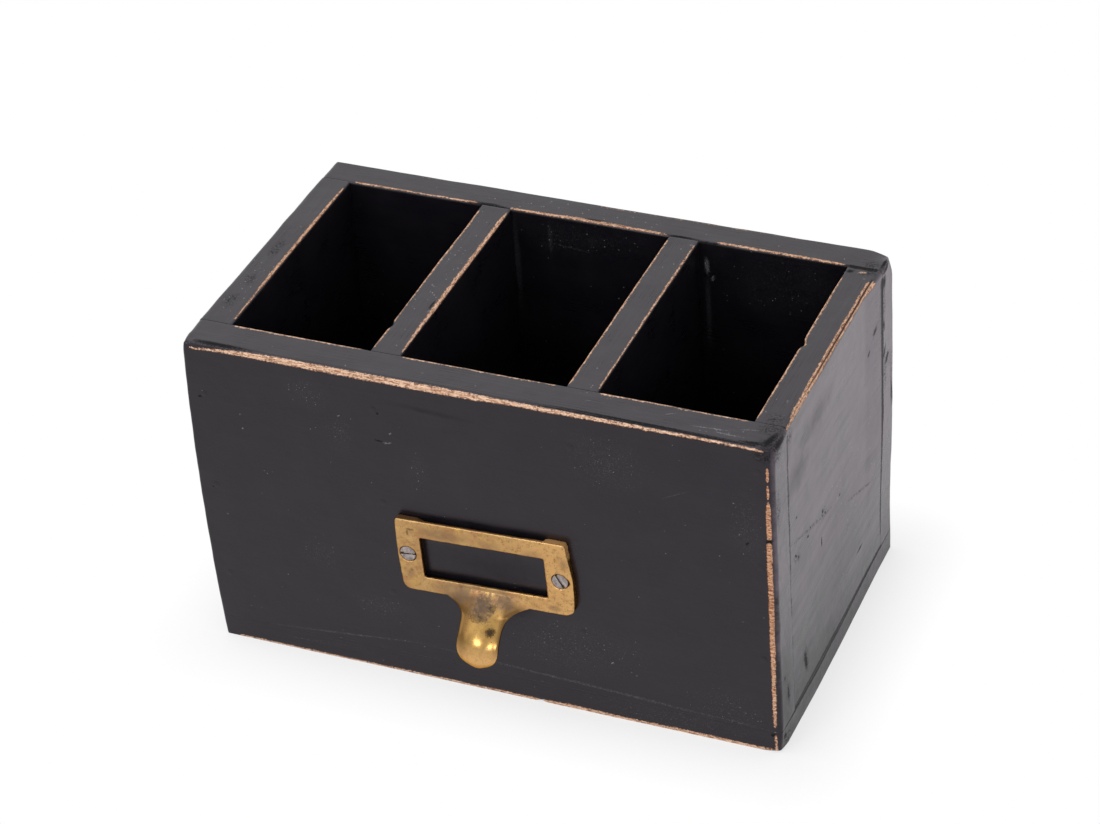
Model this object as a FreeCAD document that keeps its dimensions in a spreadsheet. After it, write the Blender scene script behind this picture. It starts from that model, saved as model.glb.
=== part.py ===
import FreeCAD, Part
import math
import os
import re

import Sketcher

# Open wooden box with three bays and a brass card frame pull on its front.
# Frame: millimetres, +X to the right, +Y to the back, +Z up. The origin is the
# middle of the underside, so the front face looks along -Y.

Vector = FreeCAD.Vector
Rotation = FreeCAD.Rotation
X = Vector(1, 0, 0)
Y = Vector(0, 1, 0)
Z = Vector(0, 0, 1)

doc = FreeCAD.newDocument("pencil_box")

# Driving dimensions, in millimetres unless the name says otherwise
SIZES = {
    # the box
    "box_width": 190.0,
    "box_depth": 108.0,
    "box_height": 115.0,
    "front_thickness": 12.0,
    "back_thickness": 10.0,
    "side_thickness": 10.0,
    "divider_thickness": 10.0,
    "base_thickness": 8.0,
    "left_bay_width": 47.0,
    "middle_bay_width": 54.0,
    "edge_round": 1.2,
    "rim_round": 0.5,
    # panel pins and the stopping over their heads
    "pin_length": 25.0,
    "pin_shank_radius": 0.7,
    "pin_head_radius": 1.2,
    "pin_head_height": 0.8,
    "pin_point_length": 2.0,
    "pin_sink": 1.5,
    "left_pin_height": 26.0,
    "left_pin_drop": 19.0,
    "right_pin_height": 36.0,
    "right_pin_drop": 9.0,
    "divider_pin_height": 32.0,
    "divider_pin_drop": 13.0,
    "base_pin_margin": 25.0,
    # the card frame pull
    "pull_offset": 0.9,
    "pull_height": 38.1,
    "pull_tilt_degrees": 2.4,
    "frame_width": 57.6,
    "frame_height": 27.0,
    "frame_thickness": 2.6,
    "plate_thickness": 1.3,
    "end_bulge": 0.5,
    "top_corner_round": 1.0,
    "bottom_corner_round": 2.6,
    "casting_round": 0.4,
    "end_width": 7.6,
    "window_side_bar": 8.15,
    "window_top_bar": 6.4,
    "window_rise": 5.6,
    "channel_rise": 2.0,
    # the finger tongue under the card frame
    "tongue_width": 14.2,
    "tongue_neck_width": 15.6,
    "tongue_shift": 0.3,
    "tongue_drop": 16.2,
    "tongue_reach": 17.2,
    "tongue_curl_degrees": 120.0,
    "tongue_thickness": 2.4,
    "tongue_crown": 1.6,
    "tongue_root_round": 8.0,
    "tongue_root_gap": 0.8,
    # the two slotted screws
    "screw_inset": 3.4,
    "left_screw_lift": 0.3,
    "right_screw_lift": -0.7,
    "screw_length": 12.7,
    "screw_shank_radius": 1.4,
    "screw_head_radius": 2.7,
    "screw_rim_height": 0.2,
    "screw_point_length": 3.0,
    "screw_hole_clearance": 0.2,
    "screw_recess": 0.3,
    "slot_width": 0.8,
    "slot_depth": 0.8,
    "left_slot_degrees": 7.0,
    "right_slot_degrees": -60.0,
}

# How the tongue runs: its curve, how fast its root flares out into the frame, its
# edges' share of the thickness, and how deep it starts inside the plate
TONGUE_SWEEP = 1.2
TONGUE_SECTION_COUNT = 20
FLARE_RATE = 5.0
FLARE_AT_EDGE = 0.6
EDGE_SHARE = 0.7
SUNK_IN_PLATE = 0.15
TIP_TURNS = (15, 30, 45, 60, 75)
SLOPE_STEP = 0.01
TOUCH = 1e-4

# Pins in a row: down each end of a board, and under the long and short walls
JOINT_PIN_COUNT = 3
LONG_WALL_PIN_COUNT = 3
SHORT_WALL_PIN_COUNT = 2

sheet = doc.addObject("Spreadsheet::Sheet", "sizes")
for row, (size_name, size_value) in enumerate(SIZES.items(), start=1):
    sheet.set(f"A{row}", size_name)
    sheet.set(f"B{row}", str(size_value))
    sheet.setAlias(f"B{row}", size_name)
doc.recompute()


def size(name):
    """Value of a driving dimension, for shapes that are worked out in code."""
    return float(getattr(sheet, name))


def bind(item, prop, text):
    """Tie a property to an expression that is written with the size names."""
    def cell(word):
        return f"sizes.{word.group()}" if word.group() in SIZES else word.group()
    item.setExpression(prop, re.sub(r"[a-z_]+", cell, text))


# Places and lengths that several pieces share
LEFT = "(0 - box_width / 2)"
RIGHT = "(box_width / 2)"
FRONT = "(0 - box_depth / 2)"
BACK = "(box_depth / 2)"
WALL_HEIGHT = "(box_height - base_thickness)"
INNER_FRONT = f"({FRONT} + front_thickness)"
INNER_DEPTH = "(box_depth - front_thickness - back_thickness)"
LEFT_DIVIDER = f"({LEFT} + side_thickness + left_bay_width)"
RIGHT_DIVIDER = f"({LEFT_DIVIDER} + divider_thickness + middle_bay_width)"


# Helpers for bodies and sketches. A sketch's corners start at a guess, and its
# dimensions then move them.

GUESS = 3.0


def place(item, x, y, z, rotation=Rotation()):
    """Turn an item and tie its place to three expressions."""
    item.Placement = FreeCAD.Placement(Vector(0, 0, 0), rotation)
    for axis, text in zip("xyz", (x, y, z)):
        bind(item, f"Placement.Base.{axis}", str(text))


def new_body(label):
    body = doc.addObject("PartDesign::Body", label)
    body.Label = label
    return body


def new_sketch(body, role, name, offset=None):
    """Sketch on one of the body's own origin planes, moved by bound offsets."""
    sketch = body.newObject("Sketcher::SketchObject", f"{body.Label}_{name}")
    plane = next(item for item in body.Origin.OriginFeatures if item.Role == role)
    sketch.AttachmentSupport = (plane, [""])
    sketch.MapMode = "FlatFace"
    for axis, text in (offset or {}).items():
        bind(sketch, f"AttachmentOffset.Base.{axis}", text)
    return sketch


def dimension(sketch, text, *constraint):
    """Add one sketch dimension and tie it to an expression."""
    index = sketch.addConstraint(Sketcher.Constraint(*constraint, 1.0))
    sketch.renameConstraint(index, f"size_{index}")
    bind(sketch, f"Constraints.size_{index}", text)


def add_lines(sketch, points):
    """Closed outline of straight lines through starting points."""
    first = sketch.GeometryCount
    count = len(points)
    for index, point in enumerate(points):
        following = points[(index + 1) % count]
        sketch.addGeometry(Part.LineSegment(Vector(*point, 0), Vector(*following, 0)))
    for index in range(count):
        following = first + (index + 1) % count
        sketch.addConstraint(Sketcher.Constraint("Coincident", first + index, 2, following, 1))
    return first


def add_rectangle(sketch, width, height, rise=None, centred=False):
    """Rectangle from the sketch's origin, or centred on its upright axis."""
    low = GUESS if rise else 0.0
    left = -GUESS if centred else 0.0
    right = GUESS
    top = low + GUESS
    bottom = add_lines(sketch, [(left, low), (right, low), (right, top), (left, top)])
    sketch.addConstraint(Sketcher.Constraint("Horizontal", bottom + 2))
    for line in (bottom + 1, bottom + 3):
        sketch.addConstraint(Sketcher.Constraint("Vertical", line))
    dimension(sketch, width, "DistanceX", bottom, 1, bottom, 2)
    dimension(sketch, height, "DistanceY", bottom + 1, 1, bottom + 1, 2)
    if centred:
        sketch.addConstraint(Sketcher.Constraint("Symmetric", bottom, 1, bottom, 2, -2))
    else:
        sketch.addConstraint(Sketcher.Constraint("Horizontal", bottom))
    if rise:
        dimension(sketch, rise, "DistanceY", -1, 1, bottom, 1)
    elif centred:
        sketch.addConstraint(Sketcher.Constraint("PointOnObject", bottom, 1, -1))
    else:
        sketch.addConstraint(Sketcher.Constraint("Coincident", bottom, 1, -1, 1))


def add_half_profile(sketch, steps):
    """Half section of a turned piece along the sketch's upright axis.

    Each step is a radius and the height at which it stands, as expressions.
    The outline closes along the axis.
    """
    guesses = [(GUESS, GUESS * (index + 1)) for index in range(len(steps))]
    points = [(0.0, 0.0)] + guesses[:-1] + [(0.0, GUESS * (len(steps) + 1))]
    first = add_lines(sketch, points)
    sketch.addConstraint(Sketcher.Constraint("Coincident", first, 1, -1, 1))
    for index, (radius, height) in enumerate(steps):
        line = first + index
        if radius == "0":
            sketch.addConstraint(Sketcher.Constraint("PointOnObject", line, 2, -2))
        else:
            dimension(sketch, radius, "DistanceX", -1, 1, line, 2)
        if height == "0":
            sketch.addConstraint(Sketcher.Constraint("PointOnObject", line, 2, -1))
        else:
            dimension(sketch, height, "DistanceY", -1, 1, line, 2)


def pad(body, sketch, length, reversed_side=False):
    feature = body.newObject("PartDesign::Pad", f"{sketch.Name}_pad")
    feature.Profile = sketch
    feature.Reversed = reversed_side
    bind(feature, "Length", length)
    doc.recompute()
    return feature


def pocket(body, sketch, length, reversed_side=False):
    """Pocket that stops the build if it takes nothing away."""
    before = body.Shape.Volume
    feature = body.newObject("PartDesign::Pocket", f"{sketch.Name}_pocket")
    feature.Profile = sketch
    feature.Reversed = reversed_side
    bind(feature, "Length", length)
    doc.recompute()
    if not body.Shape.Volume < before:
        raise ValueError(f"{feature.Label} cuts nothing")
    return feature


def revolve(body, sketch, kind="PartDesign::Revolution"):
    feature = body.newObject(kind, f"{sketch.Name}_turned")
    feature.Profile = sketch
    feature.ReferenceAxis = (sketch, ["V_Axis"])
    feature.Angle = 360.0
    doc.recompute()
    return feature


def add_fillet(body, base, names, radius):
    feature = body.newObject("PartDesign::Fillet", f"{body.Label}_round")
    feature.Base = (base, names)
    bind(feature, "Radius", radius)
    doc.recompute()


def edges_at(shape, words):
    """Names of the straight edges that lie on all the named sides of a shape."""
    box = shape.BoundBox
    sides = {
        "left": (0, box.XMin), "right": (0, box.XMax), "front": (1, box.YMin),
        "back": (1, box.YMax), "bottom": (2, box.ZMin), "top": (2, box.ZMax),
    }
    wanted = [sides[word] for word in words.split()]

    def lies_there(edge):
        return all(
            abs(vertex.Point[axis] - value) < TOUCH
            for axis, value in wanted for vertex in edge.Vertexes)
    return [f"Edge{n}" for n, edge in enumerate(shape.Edges, start=1) if lies_there(edge)]


def round_edges(body, radius, *places):
    """Fillet of the edges that lie at the named places, such as 'front top'."""
    base = body.Tip
    names = [name for words in places for name in edges_at(base.Shape, words)]
    add_fillet(body, base, names, radius)


# Boards: butt jointed, and cut by the pins and screws that go into them

def board(label, corner, length, depth, height, rounds):
    """Plain board from its low left front corner, with its free edges rounded."""
    body = new_body(f"{label}_blank")
    sketch = new_sketch(body, "XY_Plane", "outline")
    add_rectangle(sketch, length, depth)
    pad(body, sketch, height)
    for radius, places in rounds.items():
        round_edges(body, radius, *places)
    place(body, *corner)
    return body


def wall(label, x, y, length, depth, rounds):
    return board(label, (x, y, "base_thickness"), length, depth, WALL_HEIGHT, rounds)


def make_boards():
    """The seven boards before anything is driven into them."""
    return {
        "base_board": board(
            "base_board", (LEFT, FRONT, 0), "box_width", "box_depth", "base_thickness",
            {"edge_round": ["front bottom", "back bottom", "left bottom", "right bottom",
                            "left front", "right front", "left back", "right back"]}),
        "front_board": wall(
            "front_board", LEFT, FRONT, "box_width", "front_thickness",
            {"edge_round": ["front top", "left top", "right top", "left front", "right front"]}),
        "back_board": wall(
            "back_board", LEFT, f"{BACK} - back_thickness", "box_width", "back_thickness",
            {"edge_round": ["back top", "left top", "right top", "left back", "right back"]}),
        "left_side": wall(
            "left_side", LEFT, INNER_FRONT, "side_thickness", INNER_DEPTH,
            {"edge_round": ["left top"], "rim_round": ["right top"]}),
        "right_side": wall(
            "right_side", f"{RIGHT} - side_thickness", INNER_FRONT, "side_thickness",
            INNER_DEPTH, {"edge_round": ["right top"], "rim_round": ["left top"]}),
        "left_divider": wall(
            "left_divider", LEFT_DIVIDER, INNER_FRONT, "divider_thickness", INNER_DEPTH,
            {"rim_round": ["left top", "right top"]}),
        "right_divider": wall(
            "right_divider", RIGHT_DIVIDER, INNER_FRONT, "divider_thickness", INNER_DEPTH,
            {"rim_round": ["left top", "right top"]}),
    }


# Panel pins: driven below the surface, their holes filled with stopping

DRIVEN_BACK = Rotation(Z, X, Y, "ZXY")
DRIVEN_FORWARD = Rotation(Z, -X, -Y, "ZXY")
DRIVEN_UP_ALONG_X = Rotation()
DRIVEN_UP_ALONG_Y = Rotation(Y, -X, Z, "ZXY")


def repeat_in_row(body, feature, sketch, count, pitch):
    """Copies of a feature along the sketch's level axis."""
    row = body.newObject("PartDesign::LinearPattern", f"{body.Label}_row")
    row.Originals = [feature]
    row.Direction = (sketch, ["H_Axis"])
    row.Mode = "Spacing"
    row.Occurrences = count
    bind(row, "Offset", pitch)
    body.Tip = row
    doc.recompute()


def pin_row(label, where, rotation, count, length):
    """A row of pins and the row of filled holes over their heads.

    In the row's own frame the pins point along +Z, the board's surface is at
    zero, and the row runs along +X for the given length.
    """
    pitch = f"({length}) / {count - 1}"
    pins = new_body(f"{label}_row")
    sketch = new_sketch(pins, "XZ_Plane", "section", {"y": "pin_sink"})
    shank_end = "(pin_length - pin_point_length)"
    add_half_profile(sketch, [
        ("pin_head_radius", "0"),
        ("pin_head_radius", "pin_head_height"),
        ("pin_shank_radius", "pin_head_height"),
        ("pin_shank_radius", shank_end),
        ("0", "pin_length"),
    ])
    repeat_in_row(pins, revolve(pins, sketch), sketch, count, pitch)

    stopping = new_body(f"{label}_stopping_row")
    disc = new_sketch(stopping, "XY_Plane", "disc")
    disc.addGeometry(Part.Circle(Vector(0, 0, 0), Z, 1.0))
    disc.addConstraint(Sketcher.Constraint("Coincident", 0, 3, -1, 1))
    dimension(disc, "pin_head_radius", "Radius", 0)
    repeat_in_row(stopping, pad(stopping, disc, "pin_sink"), disc, count, pitch)

    for body in (pins, stopping):
        place(body, *where, rotation)
    return pins, stopping


def make_pin_rows():
    """Rows of pins by name, each with its stopping."""
    left_line = f"{LEFT} + side_thickness / 2"
    right_line = f"{RIGHT} - side_thickness / 2"
    left_divider_line = f"{LEFT_DIVIDER} + divider_thickness / 2"
    right_divider_line = f"{RIGHT_DIVIDER} + divider_thickness / 2"
    front_line = f"{FRONT} + front_thickness / 2"
    back_line = f"{BACK} - back_thickness / 2"
    uprights = {
        "left_side": (left_line, "left"),
        "right_side": (right_line, "right"),
        "left_divider": (left_divider_line, "divider"),
        "right_divider": (right_divider_line, "divider"),
    }
    rows = {}
    for name, (x, kind) in uprights.items():
        low = f"{kind}_pin_height"
        length = f"box_height - {kind}_pin_drop - {low}"
        rows[f"front_{name}"] = pin_row(
            f"front_{name}", (x, FRONT, low), DRIVEN_BACK, JOINT_PIN_COUNT, length)
        rows[f"back_{name}"] = pin_row(
            f"back_{name}", (x, BACK, low), DRIVEN_FORWARD, JOINT_PIN_COUNT, length)
        rows[f"base_{name}"] = pin_row(
            f"base_{name}", (x, f"{INNER_FRONT} + base_pin_margin", 0), DRIVEN_UP_ALONG_Y,
            SHORT_WALL_PIN_COUNT, f"{INNER_DEPTH} - 2 * base_pin_margin")
    for name, y in (("front_board", front_line), ("back_board", back_line)):
        rows[f"base_{name}"] = pin_row(
            f"base_{name}", (f"{LEFT} + base_pin_margin", y, 0), DRIVEN_UP_ALONG_X,
            LONG_WALL_PIN_COUNT, "box_width - 2 * base_pin_margin")
    return rows


# The card frame pull. In its own frame the wood is at y = 0, the frame's lower
# edge is at z = 0, and the front looks along -Y.

LEFT_SCREW = ("(screw_inset - frame_width / 2)", "(frame_height / 2 + left_screw_lift)")
RIGHT_SCREW = ("(frame_width / 2 - screw_inset)", "(frame_height / 2 + right_screw_lift)")


def pull_point(x, z):
    """World expressions for a point of the pull, tilted with it."""
    tilt = "(pull_tilt_degrees)"
    return (f"pull_offset + ({x}) * cos{tilt} - ({z}) * sin{tilt}",
            f"pull_height + ({x}) * sin{tilt} + ({z}) * cos{tilt}")


def cut_screw_hole(body, name, x, z):
    """Countersunk clearance hole: the screw's head seats on the cone."""
    sketch = new_sketch(body, "XY_Plane", name, {"x": x, "z": z})
    bore = "(screw_shank_radius + screw_hole_clearance)"
    wide = "(screw_head_radius + screw_hole_clearance)"
    seat = "(screw_recess + screw_rim_height)"
    add_half_profile(sketch, [
        (bore, "0"),
        (bore, f"frame_thickness - {seat} - (screw_head_radius - screw_shank_radius)"),
        (wide, f"frame_thickness - {seat}"),
        (wide, "frame_thickness"),
        ("0", "frame_thickness"),
    ])
    sketch.AttachmentOffset = FreeCAD.Placement(
        sketch.AttachmentOffset.Base, Rotation(X, 180))
    before = body.Shape.Volume
    revolve(body, sketch, "PartDesign::Groove")
    if not body.Shape.Volume < before:
        raise ValueError(f"{sketch.Label} cuts nothing")


def make_card_frame():
    """Cast plate with thick ends, a window, and a card channel open at the top."""
    body = new_body("card_frame")
    outline = new_sketch(body, "XZ_Plane", "outline")
    half = 28.0
    low, high = 0.0, 26.0
    outline.addGeometry(Part.LineSegment(Vector(-half, low, 0), Vector(half, low, 0)))
    outline.addGeometry(Part.ArcOfCircle(
        Vector(half, low, 0), Vector(half + 0.5, high / 2, 0), Vector(half, high, 0)))
    outline.addGeometry(Part.LineSegment(Vector(half, high, 0), Vector(-half, high, 0)))
    outline.addGeometry(Part.ArcOfCircle(
        Vector(-half, high, 0), Vector(-half - 0.5, high / 2, 0), Vector(-half, low, 0)))
    for line, line_end, arc, arc_end in ((0, 2, 1, 1), (2, 1, 1, 2), (2, 2, 3, 1), (0, 1, 3, 2)):
        outline.addConstraint(Sketcher.Constraint("Coincident", line, line_end, arc, arc_end))
    outline.addConstraint(Sketcher.Constraint("PointOnObject", 0, 1, -1))
    outline.addConstraint(Sketcher.Constraint("Symmetric", 0, 1, 0, 2, -2))
    outline.addConstraint(Sketcher.Constraint("Symmetric", 2, 1, 2, 2, -2))
    straight_width = "frame_width - 2 * end_bulge"
    bulge_radius = "(frame_height ^ 2 / 4 + end_bulge ^ 2) / (2 * end_bulge)"
    dimension(outline, straight_width, "DistanceX", 0, 1, 0, 2)
    dimension(outline, straight_width, "DistanceX", 2, 2, 2, 1)
    dimension(outline, "frame_height", "DistanceY", 0, 1, 2, 2)
    dimension(outline, bulge_radius, "Radius", 1)
    dimension(outline, bulge_radius, "Radius", 3)
    pad(body, outline, "frame_thickness")

    channel = new_sketch(body, "XZ_Plane", "channel")
    add_rectangle(channel, "frame_width - 2 * end_width", "frame_height", "channel_rise",
                  centred=True)
    pocket(body, channel, "frame_thickness - plate_thickness", reversed_side=True)
    window = new_sketch(body, "XZ_Plane", "window")
    add_rectangle(window, "frame_width - 2 * window_side_bar",
                  "frame_height - window_rise - window_top_bar", "window_rise", centred=True)
    pocket(body, window, "frame_thickness", reversed_side=True)
    cut_screw_hole(body, "left_hole", *LEFT_SCREW)
    cut_screw_hole(body, "right_hole", *RIGHT_SCREW)
    round_casting(body)
    return body


def frame_corners(shape, low):
    """Names of the frame's two outer corner edges, at its foot or at its top."""
    names = []
    for number, edge in enumerate(shape.Edges, start=1):
        run = edge.BoundBox
        through = abs(run.YLength - size("frame_thickness")) < TOUCH and run.XLength < TOUCH
        outside = abs(run.XMin) > size("frame_width") / 2 - size("end_width")
        if through and outside and (run.ZMin < size("frame_height") / 2) == low:
            names.append(f"Edge{number}")
    return names


def round_casting(body):
    """Round the frame's four corners, then the rims of its front face."""
    for low, radius in ((True, "bottom_corner_round"), (False, "top_corner_round")):
        base = body.Tip
        add_fillet(body, base, frame_corners(base.Shape, low), radius)
    base = body.Tip
    rims = [name for name in edges_at(base.Shape, "front")
            if not base.Shape.getElement(name).isClosed()]
    add_fillet(body, base, rims, "casting_round")


def tongue_top():
    """Height in the lower bar at which the tongue starts, clear of the window."""
    return size("window_rise") - size("tongue_root_gap")


def tongue_crest(z):
    """How far in front of the wood the middle of the tongue stands at a height."""
    start = size("frame_thickness") - SUNK_IN_PLATE
    top = tongue_top()
    fall = (top - z) / (top + size("tongue_drop"))
    curl = math.radians(size("tongue_curl_degrees"))
    return start + (size("tongue_reach") - start) * math.sin(curl * fall ** TONGUE_SWEEP)


def tongue_section(z, half_width, spread, taper):
    """Crescent across the tongue: an outer and an inner arc with round ends.

    spread runs from 0 at the frame to 1 where the tongue has its own width, and
    taper from 1 there to nearly 0 at the tip.
    """
    flat = size("frame_thickness") - SUNK_IN_PLATE
    back = size("frame_thickness") - size("plate_thickness") + SUNK_IN_PLATE
    crest = tongue_crest(z)
    slope = (tongue_crest(z - SLOPE_STEP) - crest) / SLOPE_STEP
    thickness = size("tongue_thickness") * math.hypot(1.0, slope) * math.sqrt(taper)
    inner = max(crest - thickness, back)
    edge = flat + (crest - size("tongue_crown") * taper - flat) * spread - SUNK_IN_PLATE
    edge_inner = max(edge - EDGE_SHARE * (crest - inner), back - SUNK_IN_PLATE)
    bulge = (edge - edge_inner) / 2
    half = half_width - bulge
    middle = edge - bulge
    left, right = -half, half
    shift = size("tongue_shift")
    corners = [(left, edge), (right, edge), (right, edge_inner), (left, edge_inner)]
    between = [(0, crest), (right + bulge, middle), (0, inner), (left - bulge, middle)]
    arcs = []
    for index, (x, front) in enumerate(corners):
        next_x, next_front = corners[(index + 1) % 4]
        arcs.append(Part.Arc(
            Vector(shift + x, -front, z),
            Vector(shift + between[index][0], -between[index][1], z),
            Vector(shift + next_x, -next_front, z)).toShape())
    return Part.Wire(arcs)


def make_tongue():
    """Finger tongue: swells out of the frame's lower bar and turns down."""
    half = size("tongue_width") / 2
    neck_gain = size("tongue_neck_width") / 2 - half
    root = size("tongue_root_round")
    top = tongue_top()
    tip_start = half - size("tongue_drop")
    sections = []
    for step in range(TONGUE_SECTION_COUNT):
        share = 1 - step / (TONGUE_SECTION_COUNT - 1)
        z = tip_start + (top - tip_start) * share
        flare = (1 + math.tanh(FLARE_RATE * z / top + FLARE_AT_EDGE)) / 2
        width = half + neck_gain * share ** 2 + root * flare
        sections.append(tongue_section(z, width, 1 - flare, 1.0))
    for turn in map(math.radians, TIP_TURNS):
        sections.append(tongue_section(
            tip_start - half * math.sin(turn), half * math.cos(turn), 1.0, math.cos(turn)))
    tongue = doc.addObject("Part::Feature", "tongue")
    tongue.Label = "tongue"
    tongue.Shape = Part.makeLoft(sections, True, False, False, 3)
    return tongue


def make_pull():
    """The card frame and its tongue, one casting, set on the front board."""
    pull = doc.addObject("Part::MultiFuse", "label_pull")
    pull.Shapes = [make_card_frame(), make_tongue()]
    place(pull, "pull_offset", FRONT, "pull_height", Rotation(-Y, 1.0))
    bind(pull, "Placement.Rotation.Angle", "pull_tilt_degrees")
    return pull


def make_screw(label, x, z, slot_degrees):
    """Slotted countersunk wood screw: along +Z in its own frame, head at zero."""
    body = new_body(label)
    section = new_sketch(body, "XZ_Plane", "section")
    cone_end = "screw_rim_height + screw_head_radius - screw_shank_radius"
    add_half_profile(section, [
        ("screw_head_radius", "0"),
        ("screw_head_radius", "screw_rim_height"),
        ("screw_shank_radius", cone_end),
        ("screw_shank_radius", "screw_length - screw_point_length"),
        ("0", "screw_length"),
    ])
    revolve(body, section)
    slot = new_sketch(body, "XY_Plane", "slot", {"y": "0 - slot_width / 2"})
    add_rectangle(slot, "3 * screw_head_radius", "slot_width", centred=True)
    pocket(body, slot, "slot_depth", reversed_side=True)
    turn = math.radians(size(slot_degrees))
    along_slot = Vector(math.cos(turn), 0, math.sin(turn))
    world_x, world_z = pull_point(x, z)
    place(body, world_x, f"{FRONT} - frame_thickness + screw_recess", world_z,
          Rotation(along_slot, Y.cross(along_slot), Y, "ZXY"))
    return body


# Assembly: each board is cut by what is driven into it

def compound(label, links):
    group = doc.addObject("Part::Compound", label)
    group.Label = label
    group.Links = links
    return group


def driven_board(label, blank, tools):
    board_cut = doc.addObject("Part::Cut", label)
    board_cut.Label = label
    board_cut.Base = blank
    board_cut.Tool = compound(f"{label}_holes", tools)
    return board_cut


def make_nodes():
    blanks = make_boards()
    rows = make_pin_rows()
    screws = [
        make_screw("left_label_screw", *LEFT_SCREW, "left_slot_degrees"),
        make_screw("right_label_screw", *RIGHT_SCREW, "right_slot_degrees"),
    ]
    tools = {name: [] for name in blanks}
    tools["front_board"] += screws
    for name, (pins, stopping) in rows.items():
        outer, target = name.split("_", 1)
        tools[f"{outer}_board"] += [pins, stopping]
        tools[target].append(pins)
    nodes = [driven_board(name, blank, tools[name]) for name, blank in blanks.items()]
    joints = {
        "front_left_pins": ["front_left_side"],
        "front_right_pins": ["front_right_side"],
        "back_left_pins": ["back_left_side"],
        "back_right_pins": ["back_right_side"],
        "left_divider_pins": ["front_left_divider", "back_left_divider"],
        "right_divider_pins": ["front_right_divider", "back_right_divider"],
        "base_pins": [name for name in rows if name.startswith("base")],
    }
    for label, names in joints.items():
        nodes.append(compound(label, [rows[name][0] for name in names]))
    for side in ("front", "back", "base"):
        plugs = [stopping for name, (pins, stopping) in rows.items() if name.startswith(side)]
        nodes.append(compound(f"{side}_stopping", plugs))
    return nodes + [make_pull()] + screws


nodes = make_nodes()
doc.recompute()

# Checks and export

for item in doc.Objects:
    if "Invalid" in item.State or "Error" in item.State:
        raise ValueError(f"{item.Label} failed: {item.State}")

os.makedirs("parts", exist_ok=True)
for node in nodes:
    if node.Shape.isNull() or not node.Shape.isValid():
        raise ValueError(f"{node.Label} has no valid shape")
    node.Shape.exportStep(f"parts/{node.Label}.step")
    print(f"{node.Label}: {len(node.Shape.Solids)} solids, {node.Shape.Volume:.1f} mm3")
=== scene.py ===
# %% [markdown]
# # A painted pencil box
#
# The object is an old wooden desk box with three upright bays. Its boards are brushed
# with black paint that has rubbed away along the edges, and a cast brass card frame
# with a finger tongue is screwed to the front. The construction model gives every
# size and place. This lesson only gives the pieces their worn shapes and finishes.

from math import radians

import bmesh
import bpy
import numpy as np
from mathutils import Matrix, Vector


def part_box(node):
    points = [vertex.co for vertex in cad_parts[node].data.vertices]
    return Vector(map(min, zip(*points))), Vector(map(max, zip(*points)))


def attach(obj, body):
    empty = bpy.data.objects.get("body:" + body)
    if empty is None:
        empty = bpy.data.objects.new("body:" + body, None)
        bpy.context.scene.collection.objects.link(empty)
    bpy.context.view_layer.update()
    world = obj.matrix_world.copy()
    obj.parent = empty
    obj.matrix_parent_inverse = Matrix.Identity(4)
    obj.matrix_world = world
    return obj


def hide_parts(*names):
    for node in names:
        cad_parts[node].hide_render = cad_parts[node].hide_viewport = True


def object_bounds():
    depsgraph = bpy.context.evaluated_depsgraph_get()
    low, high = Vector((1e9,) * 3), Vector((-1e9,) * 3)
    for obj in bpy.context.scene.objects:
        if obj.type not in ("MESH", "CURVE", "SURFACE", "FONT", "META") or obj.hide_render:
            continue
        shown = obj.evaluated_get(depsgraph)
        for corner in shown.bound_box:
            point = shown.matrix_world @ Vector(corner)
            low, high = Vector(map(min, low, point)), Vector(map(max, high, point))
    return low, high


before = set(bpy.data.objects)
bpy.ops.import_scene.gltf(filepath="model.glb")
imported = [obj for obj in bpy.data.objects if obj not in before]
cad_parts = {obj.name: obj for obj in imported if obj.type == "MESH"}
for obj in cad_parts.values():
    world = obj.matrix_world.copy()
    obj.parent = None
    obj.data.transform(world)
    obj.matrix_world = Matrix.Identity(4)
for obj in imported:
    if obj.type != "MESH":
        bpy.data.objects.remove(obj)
cad_low, cad_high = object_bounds()
MM = 0.001
AXES = "xyz"
print("boards and fittings:", len(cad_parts))

# %% [markdown]
# ## Camera
#
# The photograph looks down on the box from its right front corner. A long lens far
# away gives the same weak perspective, so the place, the direction and the roll are
# written down as three vectors, and the camera's matrix is built from them.

# %% Place the camera
CAMERA_PLACE = Vector((0.37568, -0.81572, 0.70810))
CAMERA_LOOK = Vector((-0.34068, 0.74124, -0.57836)).normalized()
CAMERA_UP = Vector((-0.17382, 0.55490, 0.81356))
LENS_MM = 114.48
SENSOR_MM = 36.0

scene = bpy.context.scene
camera = bpy.data.objects.new("camera", bpy.data.cameras.new("camera"))
camera.data.lens = LENS_MM
camera.data.sensor_width = SENSOR_MM
side = CAMERA_LOOK.cross(CAMERA_UP).normalized()
upright = side.cross(CAMERA_LOOK)
turn = Matrix((side, upright, -CAMERA_LOOK)).transposed().to_4x4()
camera.matrix_world = Matrix.Translation(CAMERA_PLACE) @ turn
scene.collection.objects.link(camera)
scene.camera = camera
scene.view_settings.view_transform = "Standard"
print("camera distance:", round(CAMERA_PLACE.length, 3), "m")

# %% [markdown]
# ## Arithmetic on node sockets
#
# Materials and shapes here are sums of many small rules. A class that wraps one
# output socket lets Python's own operators add the Math nodes, so a rule reads like
# the formula that it is. Every other node comes from one method, which takes the
# node's type, its settings and what its sockets are fed with.

# %% Wrap a socket
def operator(operation, swapped=False):
    """A method that adds one Math node for two values."""
    def method(self, other):
        return self.maths(operation, *((other, self) if swapped else (self, other)))
    return method


def fill_ramp(ramp, stops):
    """Set a colour ramp's stops from pairs of a place and a colour."""
    while len(ramp.elements) < len(stops):
        ramp.elements.new(1.0)
    for element, (place, colour) in zip(ramp.elements, stops):
        element.position = place
        element.color = colour


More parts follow.
